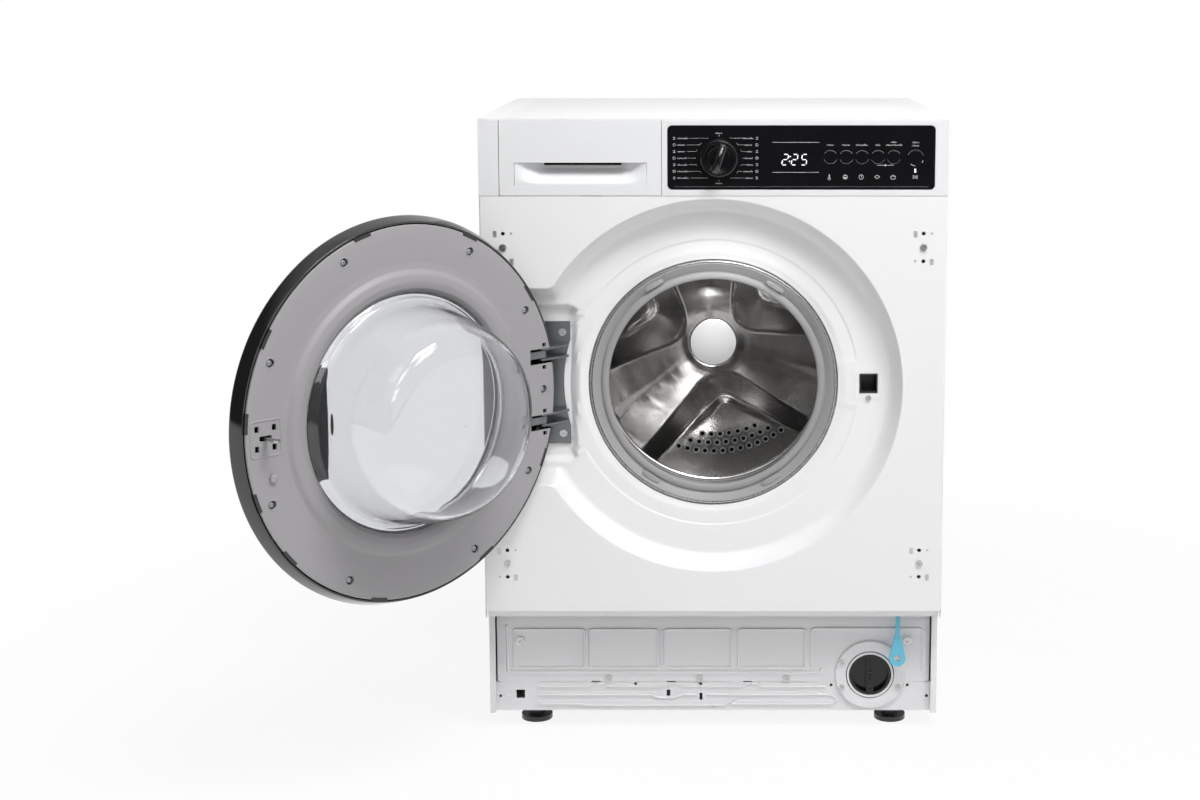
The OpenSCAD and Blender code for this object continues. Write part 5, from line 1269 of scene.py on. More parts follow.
def build_frame():
    r = WINDOW_R
    points = [(r + 0.4, Y_IN - 5, 0.3), (r + 0.4, Y_IN + 1, 1.5), (r + 5, Y_IN + 4.6, 5),
              (r + 13, Y_IN + 6, 12), (r + 22, Y_IN + 4.8, 9), (r + 28, Y_IN + 0.8, 6), (r + 36, Y_IN, 8),
              (215, Y_IN, 0.2), (228.5, Y_IN, 1.2), (228.5, Y_IN - 3, 0.3), (r + 26, Y_IN - 3, 1),
              (r + 19, Y_IN + 2, 1), (r + 9, Y_IN + 3, 1), (r + 6, Y_IN, 0.5), (r + 6, Y_OUT + 6, 0.3),
              (r + 3.4, Y_OUT + 6, 0.3), (r + 3.4, Y_IN - 8, 0.5), (r - 4, Y_IN - 8, 0.3),
              (r - 4, Y_IN - 5, 0.3)]
    ring = lathe("turned_door_frame", soft_profile(points), GREY_FRAME, segments=240, on_door=True, crisp=50)
    cut(ring, frame_cutters())
    around_hook = rounded_outline(HOOK_X - 20, DRUM_Z - 21, HOOK_X + 20, DRUM_Z + 21, 4)
    beads = [bead("frame_bead", around_hook, Y_IN, 2.6, 0.9, GREY_FRAME, 1, True, True)]
    for angle in SCREW_ANGLES:
        well = circle(*on_ring(SCREW_RING, angle), 6.0, 20)
        beads.append(bead("well_bead", well, Y_IN, 1.7, 0.55, GREY_FRAME, 1, True, True))
    button = [(0.3, Y_IN - 1), (5, Y_IN - 1), (5, Y_IN + 3.0), (3.8, Y_IN + 4), (0.3, Y_IN + 4)]
    stop = lathe("door_stop_button", button, GREY_FRAME, x=HOOK_X - 8, z=DRUM_Z - 48, segments=24, on_door=True)
    whole = join_pieces("moulded_door_frame", [ring, stop] + beads)
    smooth(whole, 45)
    return fit(whole, "door", ["door_frame"])


def build_bowl():
    r, w, t, e = WINDOW_R, 134.5, 4.5, 108.0
    outside = [(r - 0.4, Y_IN - 5), (r - 0.4, Y_IN - 1.5), (r - 4, Y_IN + 1), (w + 3.5, Y_IN + 4),
               (w, Y_IN + 10), (w - 3.5, Y_IN + 0.26 * e), (w - 8.5, Y_IN + 0.49 * e),
               (w - 14.5, Y_IN + 0.72 * e), (w - 22, Y_IN + 0.89 * e), (w - 31, Y_IN + 0.965 * e),
               (w - 46, Y_IN + e), (60, Y_IN + e + 1.0), (0.4, Y_IN + e + 1.4)]
    inside = [(0.4, Y_IN + e + 1.4 - t), (60, Y_IN + e + 1 - t), (w - 47, Y_IN + e - t),
              (w - 33.5, Y_IN + 0.965 * e - t), (w - 26, Y_IN + 0.89 * e - 2),
              (w - 14.5 - t, Y_IN + 0.72 * e - 1), (w - 8.5 - t, Y_IN + 0.49 * e - 1),
              (w - 3.5 - t, Y_IN + 0.26 * e - 1), (w - t, Y_IN + 9), (w + 3.5 - t, Y_IN + 2),
              (r - 5 - t, Y_IN - 2), (r - 1.5 - t, Y_IN - 5)]
    curve = soft_curve(outside) + soft_curve(inside)
    bowl = lathe("turned_glass_bowl", curve, BOWL_GLASS, segments=224, on_door=True, crisp=40)
    smooth(bowl, 50)
    return fit(bowl, "door", ["door_glass"])


def build_grip():
    """The ribbed grip on the latch side, seen through the glass, with a narrow oval pad beside it."""
    edge, half, y0 = 101.0, 68.0, Y_OUT + 3.2
    rim = [(math.sqrt(145.5 ** 2 - dz ** 2), dz) for dz in np.linspace(-half, half, 25)]
    outline = [(edge, -half + 6), (edge + 2, -half + 1)] + rim + [(edge + 2, half - 1), (edge, half - 6)]
    parts = [prism("grip_plate", [(u, DRUM_Z + dz) for u, dz in outline], y0, y0 + 3.5, PANEL_BLACK)]
    for dz in np.arange(-half + 5, half - 4, 3.0):
        reach = math.sqrt(144.0 ** 2 - dz ** 2)
        parts.append(box_mesh("rib", (edge + 2, y0 + 3.3, DRUM_Z + dz), (reach, y0 + 5.0, DRUM_Z + dz + 1.2),
                              PANEL_BLACK, True))
    oval = [(94 + 1.8 * u, DRUM_Z - 4 + 13 * v) for u, v in circle(0, 0, 1, 24)]
    parts.append(prism("grip_pad", oval, y0, y0 + 1.2, PANEL_BLACK))
    return fit(join_pieces("door_grip", parts), "door")


def build_tabs():
    """Small dark clips between the frame's rim and the cover, and black floors in the screw wells that paint
    the shade round the screw heads.
    """
    clips = []
    for angle in CLIP_ANGLES:
        turns = np.linspace(angle - 3.0, angle + 3.0, 6)
        arc = [on_ring(225.6, a) for a in turns] + [on_ring(229.8, a) for a in reversed(turns)]
        clips.append(prism("clip", arc, Y_IN - 2.0, Y_IN + 0.35, BLACK_PLASTIC))
    # Painted shade: the wells' floors are black so the screws look sunk in shadow.
    floor = [(0.3, Y_IN - 5), (6, Y_IN - 5), (6, Y_IN - 3.2), (0.3, Y_IN - 3.2)]
    for angle in SCREW_ANGLES:
        x, z = on_ring(SCREW_RING, angle)
        clips.append(lathe("well_floor", floor, BLACK_PLASTIC, x=x, z=z, segments=20, on_door=True))
    return fit(join_pieces("door_clips", clips), "door")


def build_door():
    pieces = [build_cover(), build_frame(), build_bowl(), build_grip(), build_tabs()]
    spots = [on_ring(SCREW_RING, angle) for angle in SCREW_ANGLES]
    base, top = [on_open_door([(x, y, z) for x, z in spots]) for y in (Y_IN - 3.1, Y_IN + 6.9)]
    pieces.append(scatter("door_screw_heads", base, top - base,
                          cross_screw("door_screw_shape", 3.6, 1.9, MOTOR_STEEL),
                          "door", ["door_screws"]))
    return pieces


for piece in build_door():
    print(piece.name, len(piece.data.polygons))

# %% [markdown]
# The print on the control panel is a thin layer of ink. Each mark is a flat outline of its own: dashes where a
# real machine carries words, simple icons, guide lines round the dial and a lit time in seven-segment figures.
# Two white arcs low on the start key's ring are not print but a painted highlight on its glossy rim.
# The marks are generic. They are built as plates a few hundredths of a millimetre thick.

# %% Marks printed on the panel
INK_Y, INK = FRONT - 0.4, 0.06
KNOB_X, KNOB_Z, KNOB_R = 7.2, 770.0, 24.0
BUTTON_XS, BUTTON_Z, BUTTON_R = [148.3 + 20.1 * i for i in range(5)], 771.3, 7.7
START_X, START_Z, START_R = 256.3, 770.4, 9.1
LETTER_STEP, DIAL_ROWS, DIAL_LEFT, DIAL_RIGHT = 1.45, 7, -45.5, 50.5
FIGURE_W, FIGURE_H, FIGURE_LEAN, FIGURE_BAR = 6.6, 13.4, 0.16, 1.05


def line_mark(x0, z0, x1, z1, width):
    """A straight stroke as an outline of four corners."""
    length = math.hypot(x1 - x0, z1 - z0)
    ox, oz = -(z1 - z0) / length * width / 2, (x1 - x0) / length * width / 2
    return [(x0 - ox, z0 - oz), (x1 - ox, z1 - oz), (x1 + ox, z1 + oz), (x0 + ox, z0 + oz)]


def path_marks(points, width):
    """Straight strokes from point to point."""
    return [line_mark(*a, *b, width) for a, b in zip(points, points[1:])]


def arc_mark(cx, cz, r, width, start, end):
    steps = max(4, int(abs(end - start) / 9))
    angles = [math.radians(start + (end - start) * k / steps) for k in range(steps + 1)]
    outer = [(cx + (r + width / 2) * math.cos(a), cz + (r + width / 2) * math.sin(a)) for a in angles]
    inner = [(cx + (r - width / 2) * math.cos(a), cz + (r - width / 2) * math.sin(a)) for a in reversed(angles)]
    return outer + inner


def ring_mark(cx, cz, r, width):
    return [arc_mark(cx, cz, r, width, 0, 180), arc_mark(cx, cz, r, width, 180, 360)]


def word_mark(x, z, length, height=2.0, align="middle"):
    """Short upright and level strokes in place of a word."""
    left = x - length / 2 if align == "middle" else x if align == "left" else x - length
    marks, at, index = [], left, 0
    while at < left + length - 0.9:
        tall = height * (0.7, 0.7, 1.0, 0.7, 0.55)[index % 5]
        low, level = z - height / 2, z - height / 2 + tall * (0.5, 0.95, 0.12)[index % 3]
        marks.append(line_mark(at + 0.2, low, at + 0.2, low + tall, 0.32))
        marks.append(line_mark(at + 0.2, level, at + 0.95, level, 0.28))
        if index % 2:
            marks.append(line_mark(at + 0.95, low, at + 0.95, low + tall * 0.8, 0.3))
        at += LETTER_STEP
        index += 1
    return marks


SEGMENTS = {"2": "abged", "5": "afgcd"}


def figure_marks(figure, x, z):
    """A leaning seven-segment figure with its lower left corner at x, z."""
    h = FIGURE_H / 2
    ends = {"a": (0, 2 * h, 1, 2 * h), "b": (1, h, 1, 2 * h), "c": (1, 0, 1, h), "d": (0, 0, 1, 0),
            "e": (0, 0, 0, h), "f": (0, h, 0, 2 * h), "g": (0, h, 1, h)}
    marks = []
    for name in SEGMENTS[figure]:
        u0, v0, u1, v1 = ends[name]
        flat = v0 == v1
        gap_u, gap_v = (0.18, 0) if flat else (0, 1.0)
        u0, v0, u1, v1 = u0 + gap_u, v0 + gap_v, u1 - gap_u, v1 - gap_v
        marks.append(line_mark(x + FIGURE_W * u0 + FIGURE_LEAN * v0, z + v0,
                               x + FIGURE_W * u1 + FIGURE_LEAN * v1, z + v1, FIGURE_BAR))
    return marks


def ink_plate(name, outlines, finish, body="cabinet", y=INK_Y, thick=INK):
    """All the outlines as one thin layer that stands out in front of the plane y."""
    points, faces = [], []
    for outline in outlines:
        n, base = len(outline), len(points)
        points += [(x, y + 0.01, z) for x, z in outline] + [(x, y - thick, z) for x, z in outline]
        faces += [tuple(base + k for k in range(n)), tuple(base + n + k for k in range(n))]
        faces += [(base + k, base + (k + 1) % n, base + n + (k + 1) % n, base + n + k) for k in range(n)]
    layer = make_mesh(name, points, faces, finish, 40)
    turn_faces_out(layer, 0.001)
    return fit(layer, body)


def dial_marks():
    """Fourteen places beside the knob, each with a guide line, a word and an icon, and one above and below."""
    marks = []
    for side in (-1, 1):
        edge, icon_x, align = (DIAL_LEFT, -49.6, "left") if side < 0 else (DIAL_RIGHT, 55.2, "right")
        for row in range(DIAL_ROWS):
            z, angle = KNOB_Z + (3 - row) * 8.4, math.radians(62 - row * 20.5)
            x0, z0 = KNOB_X + side * 29.5 * math.cos(angle), KNOB_Z + 29.5 * math.sin(angle)
            word = 15 - (row * 5) % 6 if side < 0 else 14 - (row * 3) % 7
            end, bend = edge - side * (word + 1.2), x0 + side * 0.7 * abs(z - z0)
            marks.append(line_mark(x0, z0, bend, z, 0.24))
            if side * (end - bend) > 0.4:
                marks.append(line_mark(bend, z, end, z, 0.24))
            marks += word_mark(edge, z, word, 1.9, align)
            if row % 2:
                marks += ring_mark(icon_x, z, 1.5, 0.4)
                continue
            for x0, dz0, x1, dz1 in ((-1.5, -1.2, 1.5, -1.2), (-1.5, 1.2, 1.5, 1.2), (0, -1.2, 0.8, 1.2)):
                marks.append(line_mark(icon_x + x0, z + dz0, icon_x + x1, z + dz1, 0.4))
    for z in (KNOB_Z + 28.6, KNOB_Z - 28.6):
        marks.append(line_mark(KNOB_X, z - 1.0, KNOB_X, z + 1.0, 0.4))
        marks += word_mark(KNOB_X, z + math.copysign(3.2, z - KNOB_Z), 9)
    return marks


def icon_marks():
    """Generic icons under the buttons: thermometer, dial, clock, shirt hanger, tub and play with pause."""
    z = 746.0
    marks = [line_mark(147.0, z - 1, 147.0, z + 3.2, 0.9)] + ring_mark(147.0, z - 2.0, 1.4, 0.5)
    x = 167.4
    marks += ring_mark(x, z, 2.7, 0.45)
    marks += [arc_mark(x, z, 1.3, 1.2, 190, 350), arc_mark(x, z + 0.4, 1.6, 0.4, 20, 160)]
    marks += ring_mark(187.6, z, 2.8, 0.45)
    for x, width, paths in (
            (187.6, 0.4, [[(0, 0), (0, 1.9)], [(0, 0), (1.5, 0)]]),
            (207.8, 0.5, [[(-3.4, 0), (0, 2.6), (3.4, 0), (0, -2.2), (-3.4, 0)]]),
            (228.0, 0.5, [[(-3.0, 1.2), (-2.4, -2.6), (2.4, -2.6), (3.0, 1.2)], [(-3.0, 1.2), (3.0, 1.2)],
                          [(-0.8, 1.2), (0.8, 2.8)]]),
            (256.0, 0.45, [[(-2.6, -2.4), (-2.6, 2.4), (0.6, 0)], [(-2.6, -2.4), (0.6, 0)],
                           [(1.3, -2.4), (1.3, 2.4)], [(2.7, -2.4), (2.7, 2.4)]])):
        for path in paths:
            marks += path_marks([(x + dx, z + dz) for dx, dz in path], width)
    return marks


def panel_marks():
    """All outlines in white ink, in grey ink and in light. The white ones include a painted highlight on the
    start key's ring.
    """
    white, grey, light = dial_marks() + icon_marks(), [], []
    for z in (752.0, 790.0):
        white.append(line_mark(75, z, 134, z, 0.4))
    white += [line_mark(207.5, 761, 228.5, 761, 0.4), [(216.6, 761), (218, 759.4), (219.4, 761), (218, 762.6)]]
    for x, length in zip(BUTTON_XS, (9, 11, 15, 6, 20)):
        white += word_mark(x, 786.8, length, 2.3)
    for x, z, length in ((BUTTON_XS[4], 790.4, 7), (START_X, 790.2, 9), (START_X, 786.0, 9)):
        white += word_mark(x, z, length, 2.3)
    for x in BUTTON_XS:
        grey += [arc_mark(x, BUTTON_Z, BUTTON_R + 0.9, width, start, end)
                 for width, start, end in ((0.28, 30, 150), (0.22, 200, 340))]
    grey += [arc_mark(START_X, START_Z, START_R + 1.0, 0.28, 20, 160), line_mark(-50, 733.6, 273, 733.6, 0.22)]
    # Painted highlight: two white arcs low on the start key's glossy ring.
    white += [arc_mark(START_X, START_Z, START_R + 1.0, 0.5, 232, 268),
              arc_mark(START_X, START_Z, START_R + 1.0, 0.5, 322, 340)]
    for figure, x in (("2", 86.6), ("2", 98.6), ("5", 110.8)):
        light += figure_marks(figure, x, 761.4)
    light += [line_mark(96.6, 765.2, 96.6, 766.6, 1.4), line_mark(97.3, 771.2, 97.3, 772.6, 1.4),
              line_mark(256, 751.6, 256, 756.4, 1.9)]
    return white, grey, light


white, grey, light = panel_marks()
for name, marks, finish in (("printed_words", white, PRINT_AND_HIGHLIGHT_WHITE), ("printed_rings", grey, PRINT_GREY),
                            ("display_figures", light, DISPLAY_LIGHT)):
    print(ink_plate(name, marks, finish).name, len(marks))

# %% [markdown]
# The programme knob is a short turned disc with a knurled rim. A grip bar with a rounded top crosses it at a
# slight angle, with a printed pointer on it. The rim's ridges are small wedges set round the disc.

# %% Programme knob
KNOB_TILT, RIDGES = math.radians(18), 48


def build_knob():
    y0 = FRONT - 0.9
    disc = [(0.3, y0 - 6, 0), (KNOB_R - 9, y0 - 6, 3), (KNOB_R - 5, y0 - 9, 1.5), (KNOB_R - 2, y0 - 9, 1),
            (KNOB_R, y0 - 7, 1), (KNOB_R, y0, 0.2), (0.3, y0, 0)]
    dial = lathe("turned_dial", soft_profile(disc), PANEL_BLACK, x=KNOB_X, z=KNOB_Z, segments=96, crisp=50)
    c, s = math.cos(KNOB_TILT), math.sin(KNOB_TILT)
    rings = []
    for y, shrink in ((y0 - 5, 0.0), (y0 - 17.5, 0.6), (y0 - 19.4, 1.4), (y0 - 20.0, 2.6)):
        outline = rounded_outline(-6 + shrink, -20 + shrink, 6 - shrink, 20 - shrink, 3.4 - shrink * 0.4, 6)
        rings.append([(KNOB_X + u * c + v * s, y, KNOB_Z - u * s + v * c) for u, v in outline])
    n = len(rings[0])
    faces = quads(4, n) + [tuple(range(n)), tuple(range(3 * n, 4 * n))]
    grip = make_mesh("knob_grip", [p for ring in rings for p in ring], faces, BLACK_GLOSS, 40)
    turn_faces_out(grip)
    ridges = []
    sides = [(0, 1, 3, 2), (4, 6, 7, 5), (0, 4, 5, 1), (2, 3, 7, 6), (0, 2, 6, 4), (1, 5, 7, 3)]
    for angle in np.arange(RIDGES) * 360 / RIDGES:
        places = [on_ring(r, a, KNOB_X, KNOB_Z)
                  for r in (KNOB_R - 0.4, KNOB_R + 0.35) for a in (angle, angle + 3.4)]
        corners = [(x, y, z) for y in (y0 - 0.6, y0 - 6.4) for x, z in places]
        ridge = make_mesh("ridge", corners, sides, PANEL_BLACK)
        turn_faces_out(ridge)
        ridges.append(ridge)
    shaft = lathe("knob_shaft", [(0.3, y0 + 0.4), (3.0, y0 + 0.4), (3.0, FRONT + 11), (0.3, FRONT + 11)],
                  PANEL_BLACK, x=KNOB_X, z=KNOB_Z, segments=24)
    whole = join_pieces("programme_knob_finished", [dial, grip, shaft] + ridges)
    smooth(whole, 40)
    fit(whole, "knob", ["programme_knob"])
    pointer = [(KNOB_X + s * v + c * u, KNOB_Z + c * v - s * u)
               for u, v in ((-0.4, 8), (0.4, 8), (0.4, 16), (-0.4, 16))]
    return ink_plate("knob_pointer", [pointer], PRINT_AND_HIGHLIGHT_WHITE, "knob", y0 - 20.0, 0.05)


build_knob()
print("The knob has its grip bar and pointer")

# %% [markdown]
# The kick plate is thin sheet, so beads are pressed in it to keep it stiff: a long line along the foot and four
# framed panes. The rail below has ribs of the same kind. The beads are swept on the flat CAD sheet.

# %% Beads of the kick plate and rail
SHEET_Y = KICK_Y - 1.0
CAP_X, CAP_Z = 209.5, 75.0


def path_bead(points, y, width, height, closed=False):
    return bead("pressed_bead", points, y, width, height, SHADED_PLINTH_ENAMEL, -1, closed)


def build_kick_plate():
    sheet = soften_cad("kick_plate", SHADED_PLINTH_ENAMEL, "cabinet", 0.3, ride=False)
    parts = [sheet]
    for x0, x1 in ((-267, -172), (-165, -74), (-65, 23.6), (33, 122.6)):
        parts.append(path_bead(rounded_outline(x0, 82.6, x1, 137, 4), SHEET_Y, 3.4, 2.2, True))
    corner = [(-275 + 5 - 5 * math.cos(a), 77 + 5 - 5 * math.sin(a)) for a in np.linspace(0, math.pi / 2, 6)]
    parts.append(path_bead([(-275, 143)] + corner + [(141, 77), (144.5, 79), (145, 83)], SHEET_Y, 4.0, 2.4))
    corner = [(131 + 5 - 5 * math.cos(a), 133 + 5 * math.sin(a)) for a in np.linspace(0, math.pi / 2, 6)]
    right = [(274 + 6 * math.sin(a), 132 + 6 * math.cos(a)) for a in np.linspace(0, math.pi / 2, 6)]
    parts.append(path_bead([(131, 84)] + corner + right + [(280, 80)], SHEET_Y, 3.8, 2.2))
    whole = join_pieces("pressed_kick_plate", parts)
    smooth(whole, 40)
    return fit(whole, "cabinet", ["kick_plate"])


def build_rail():
    ribs = [[(-231, 57), (-167, 57), (-161, 61), (-146, 61)], [(-143, 57), (-64, 57), (-58, 61), (-42, 61)],
            [(-36, 57), (40, 57), (46, 61), (60, 61)], [(64, 57), (150, 57)],
            [(-231, 46), (-84, 46), (-74, 41.5), (-52, 41.5), (-40, 46), (-22, 46)],
            [(-8, 46), (158, 46), (164, 41)],
            [(-231, 33.5), (-178, 33.5), (-170, 31), (14, 31), (22, 36), (30, 42)],
            [(24, 33.5), (158, 33.5), (166, 38)]]
    parts = [path_bead(points, KICK_Y, 3.4, 2.0) for points in ribs]
    parts.append(path_bead(rounded_outline(-277, 43.5, -266.5, 49.5, 2.9), KICK_Y, 1.8, 1.0, True))
    whole = join_pieces("rail_ribs", parts)
    smooth(whole, 40)
    return fit(whole, "cabinet")


def build_cap_grip():
    """The ladder of small cells on the grip bar of the filter's cap."""
    y = front_of("filter_cap") + 0.05
    heights = CAP_Z - 21.5 + 4.9 * np.arange(9)
    cells = [rounded_outline(CAP_X - 2.0, z, CAP_X + 2.0, z + 3.7, 0.8, 2) for z in heights]
    parts = [bead("cell", cell, y, 0.7, 0.35, BLACK_GLOSS) for cell in cells]
    whole = join_pieces("filter_cap_cells", parts)
    smooth(whole, 40)
    return fit(whole, "cap")


def front_of(node):
    """The front of a CAD node in millimetres."""
    return min((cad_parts[node].matrix_world @ Vector(c))[1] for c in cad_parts[node].bound_box) / MM


for piece in (build_kick_plate(), build_rail(), build_cap_grip()):
    print(piece.name, len(piece.data.polygons))

# %% [markdown]
# The drawer's grip is a dish in its front: shallow at both ends, deepest in the middle under a slot whose shade
# is painted by a near-black plate.
# A grid of depths gives that form, and a flat copy of the grid behind it closes the dish to a solid piece.

# %% Dish of the drawer's grip
DISH_X, DISH_Z, DISH_DEPTH = (-252.4, -84.4), (734.0, 764.0), 17.0


def dish_depth(x, z):
    """Depth of the dish behind the drawer's front, in millimetres."""
    ends = ramp((x - DISH_X[0]) / 40) * ramp((DISH_X[1] - x) / 40)
    rise = ramp((z - DISH_Z[0] - 0.6) / 24)
    return DISH_DEPTH * rise * (0.08 + 0.92 * ends)


def build_dish():
    xs = np.linspace(DISH_X[0] + 0.3, DISH_X[1] - 0.3, 72)
    zs = np.linspace(DISH_Z[0] + 0.2, DISH_Z[1] - 0.2, 22)
    x, z = np.meshgrid(xs, zs, indexing="ij")
    front = np.stack([x, FRONT + np.maximum(dish_depth(x, z) - 0.4, 0.1), z], -1).reshape(-1, 3)
    back = front.copy()
    back[:, 1] = FRONT + DISH_DEPTH - 0.2
    n, m = x.shape
    faces = [(i * m + k, (i + 1) * m + k, (i + 1) * m + k + 1, i * m + k + 1)
             for i in range(n - 1) for k in range(m - 1)]
    faces += [tuple(q + n * m for q in reversed(face)) for face in faces]
    rim = [i * m for i in range(n)] + [(n - 1) * m + k for k in range(1, m)]
    rim += [i * m + m - 1 for i in range(n - 2, -1, -1)] + list(range(m - 2, 0, -1))
    faces += [(rim[k], rim[(k + 1) % len(rim)], rim[(k + 1) % len(rim)] + n * m, rim[k] + n * m)
              for k in range(len(rim))]
    dish = make_mesh("pressed_drawer_dish", np.vstack([front, back]), faces, WHITE_PLASTIC, 50)
    turn_faces_out(dish, 0.0005)
    smooth(dish, 50)
    fit(dish, "drawer")
    # Painted shade: a near-black plate under the dish's top stands for the dark inside of the slot.
    slot = box_mesh("drawer_slot", (-215, FRONT + 8, 760.6), (-117, FRONT + DISH_DEPTH - 0.5, 763.9), PAINTED_SHADE_BLACK)
    turn_faces_out(slot)
    return fit(slot, "drawer")


build_dish()

# %% [markdown]
# Side walls and top are large thin sheets. Shallow pressed lines keep them from drumming in the spin. Each line
# is a bead laid on the wall along a rounded rectangle and taken out of the sheet by a boolean cut.

# %% Pressed lines in the walls
def press_line(piece, outline, turn):
    """Cut a shallow round groove along an outline on a wall. turn maps the flat bead onto the wall."""
    line = bead("pressed_line", outline, 0, 9.0, 0.75, SIDE_ENAMEL)
    for vertex in line.data.vertices:
        vertex.co = turn(vertex.co)
    turn_faces_out(line)
    cut(piece, [line])
    smooth(piece, 35)


for side, wall in SIDES.items():
    for outline in (rounded_outline(-200, 160, 200, 765, 45), rounded_outline(-165, 195, 165, 730, 30)):
        press_line(wall, outline, lambda p: Vector((side * (HALF_W * MM + p.y), p.x, p.z)))
press_line(TOP, rounded_outline(-270, -240, 270, 230, 30), lambda p: Vector((p.x, p.z, TOP_Z * MM + p.y)))
print("Faces of the walls:", [len(wall.data.polygons) for wall in (*SIDES.values(), TOP)])

# %% [markdown]
# The machine's back gets what every cabinet of this kind has: stiffening beads round its panes, louvres for the
# motor's air and rows of screws. Louvre and screw are one shape each, scattered by the same node group.

# %% Back of the cabinet
REAR_Y, SCREW_ROWS = 259.0, (44, 180, 316, 452, 588, 724, 796)


def louvre(name):
    """A pressed hood with an open lower edge: round above, closed below by a near-black face that paints the
    shade inside.
    """
    length, height, lift = 46.0, 7.0, 3.4
    points, faces, steps = [], [], 6
    for end, scale in ((-0.5, 0.0), (-0.44, 0.8), (-0.38, 1.0), (0.38, 1.0), (0.44, 0.8), (0.5, 0.0)):
        for k in range(steps + 1):
            t = math.pi / 2 * k / steps
            points.append((length * end, height * (math.sin(t) - 0.5), lift * scale * math.cos(t)))
    m = steps + 1
    for i in range(5):
        faces += [(i * m + k, (i + 1) * m + k, (i + 1) * m + k + 1, i * m + k + 1) for k in range(steps)]
    base = len(points)
    points += [(length * end, -height * 0.5, 0.05) for end in (-0.5, -0.44, -0.38, 0.38, 0.44, 0.5)]
    faces += [(i * m, base + i, base + i + 1, (i + 1) * m) for i in range(5)]
    faces.append(tuple([base + i for i in range(6)] + [i * m + steps for i in range(5, -1, -1)]))
    hood = make_mesh(name, points, faces, GALVANISED, 50)
    turn_faces_out(hood)
    # The face across the opening takes the painted shade.
    hood.data.materials.append(PAINTED_SHADE_BLACK)
    for face in hood.data.polygons:
        if face.center.y < -height * 0.49 * MM:
            face.material_index = 1
    hood.hide_render = True
    return hood


def rear_bead(x0, z0, x1, z1):
    return bead("rear_bead", rounded_outline(x0, z0, x1, z1, 12), REAR_Y, 7.0, 2.4, GALVANISED, 1, True)


def build_rear():
    panes = [(-283, 330, -186, 680), (186, 330, 283, 680), (-283, 60, -95, 285), (-85, 705, 283, 795),
             (95, 60, 283, 285), (-283, 705, -232, 795)]
    beads = join_pieces("rear_beads", [rear_bead(*pane) for pane in panes])
    smooth(beads, 50)
    fit(beads, "cabinet")
    spots = [(x, REAR_Y, z) for x in (148, 230) for z in np.arange(90, 262, 14.0)]
    scatter("rear_louvres", spots, [(0, 1, 0)] * len(spots), louvre("louvre_shape"), "cabinet")
    edge = [(sx * 291, REAR_Y, z) for sx in (-1, 1) for z in SCREW_ROWS]
    edge += [(x, REAR_Y, 802) for x in (-200, -67, 67, 200)]
    edge += [(x, REAR_Y + 1.2, z) for x, z in (on_ring(160, angle) for angle in np.arange(22.5, 360, 45))]
    scatter("rear_screws", edge, [(0, 1, 0)] * len(edge),
            cross_screw("rear_screw_shape", 4.2, 2.4, SCREW_STEEL), "cabinet")
    return len(spots), len(edge)


print("Louvres and screws at the back:", build_rear())

# %% [markdown]
# The photograph was taken with a long lens from above the machine's middle and looking slightly down. The
# frame was cropped afterwards, which a small lens shift repeats.

# %% Camera
LENS, SHIFT_X, SHIFT_Y = 60.15, -0.0944, -0.0990
CAMERA_PLACE, LOOKS_DOWN = (0.0, -2.806, 0.969), 8.0


def place_camera():
    data = bpy.data.cameras.new("studio_camera")
    data.sensor_width = 36.0
    data.lens, data.shift_x, data.shift_y = LENS, SHIFT_X, SHIFT_Y
    camera = bpy.data.objects.new("studio_camera", data)
    camera.location = CAMERA_PLACE
    camera.rotation_euler = (math.radians(90 - LOOKS_DOWN), 0, 0)
    bpy.context.scene.collection.objects.link(camera)
    bpy.context.scene.camera = camera
    return camera


camera = place_camera()
print("Camera lens", camera.data.lens, "mm")

# %% [markdown]
# The light is a soft studio: a broad pale sky that is brighter above than below, five soft lamps and a narrow
# one that picks out the drum's hub. Gloss sees a world of its own, with a dark left side, a bright right side
# and one softbox, because shiny steel and glass look like what they mirror. The white background is only a
# colour that the camera and rays through glass see.

# %% Studio light and background
SKY_LOW, SKY_HIGH = 0.05, 0.34
MIRROR_LOW, MIRROR_HIGH, SOFTBOX = 0.06, 0.80, 5.0
SOFTBOX_X, SOFTBOX_Z = (0.02, 0.06, 0.38, 0.34), (0.50, 0.54, 0.74, 0.70)


def seen_directly(tree):
    """1 for rays from the camera and rays through glass, 0 for others; and the glossy rays' own socket."""
    path = tree.nodes.new("ShaderNodeLightPath")
    direct = math_node(tree, "MAXIMUM", path.outputs["Is Camera Ray"], path.outputs["Is Transmission Ray"])
    return direct, path.outputs["Is Glossy Ray"]


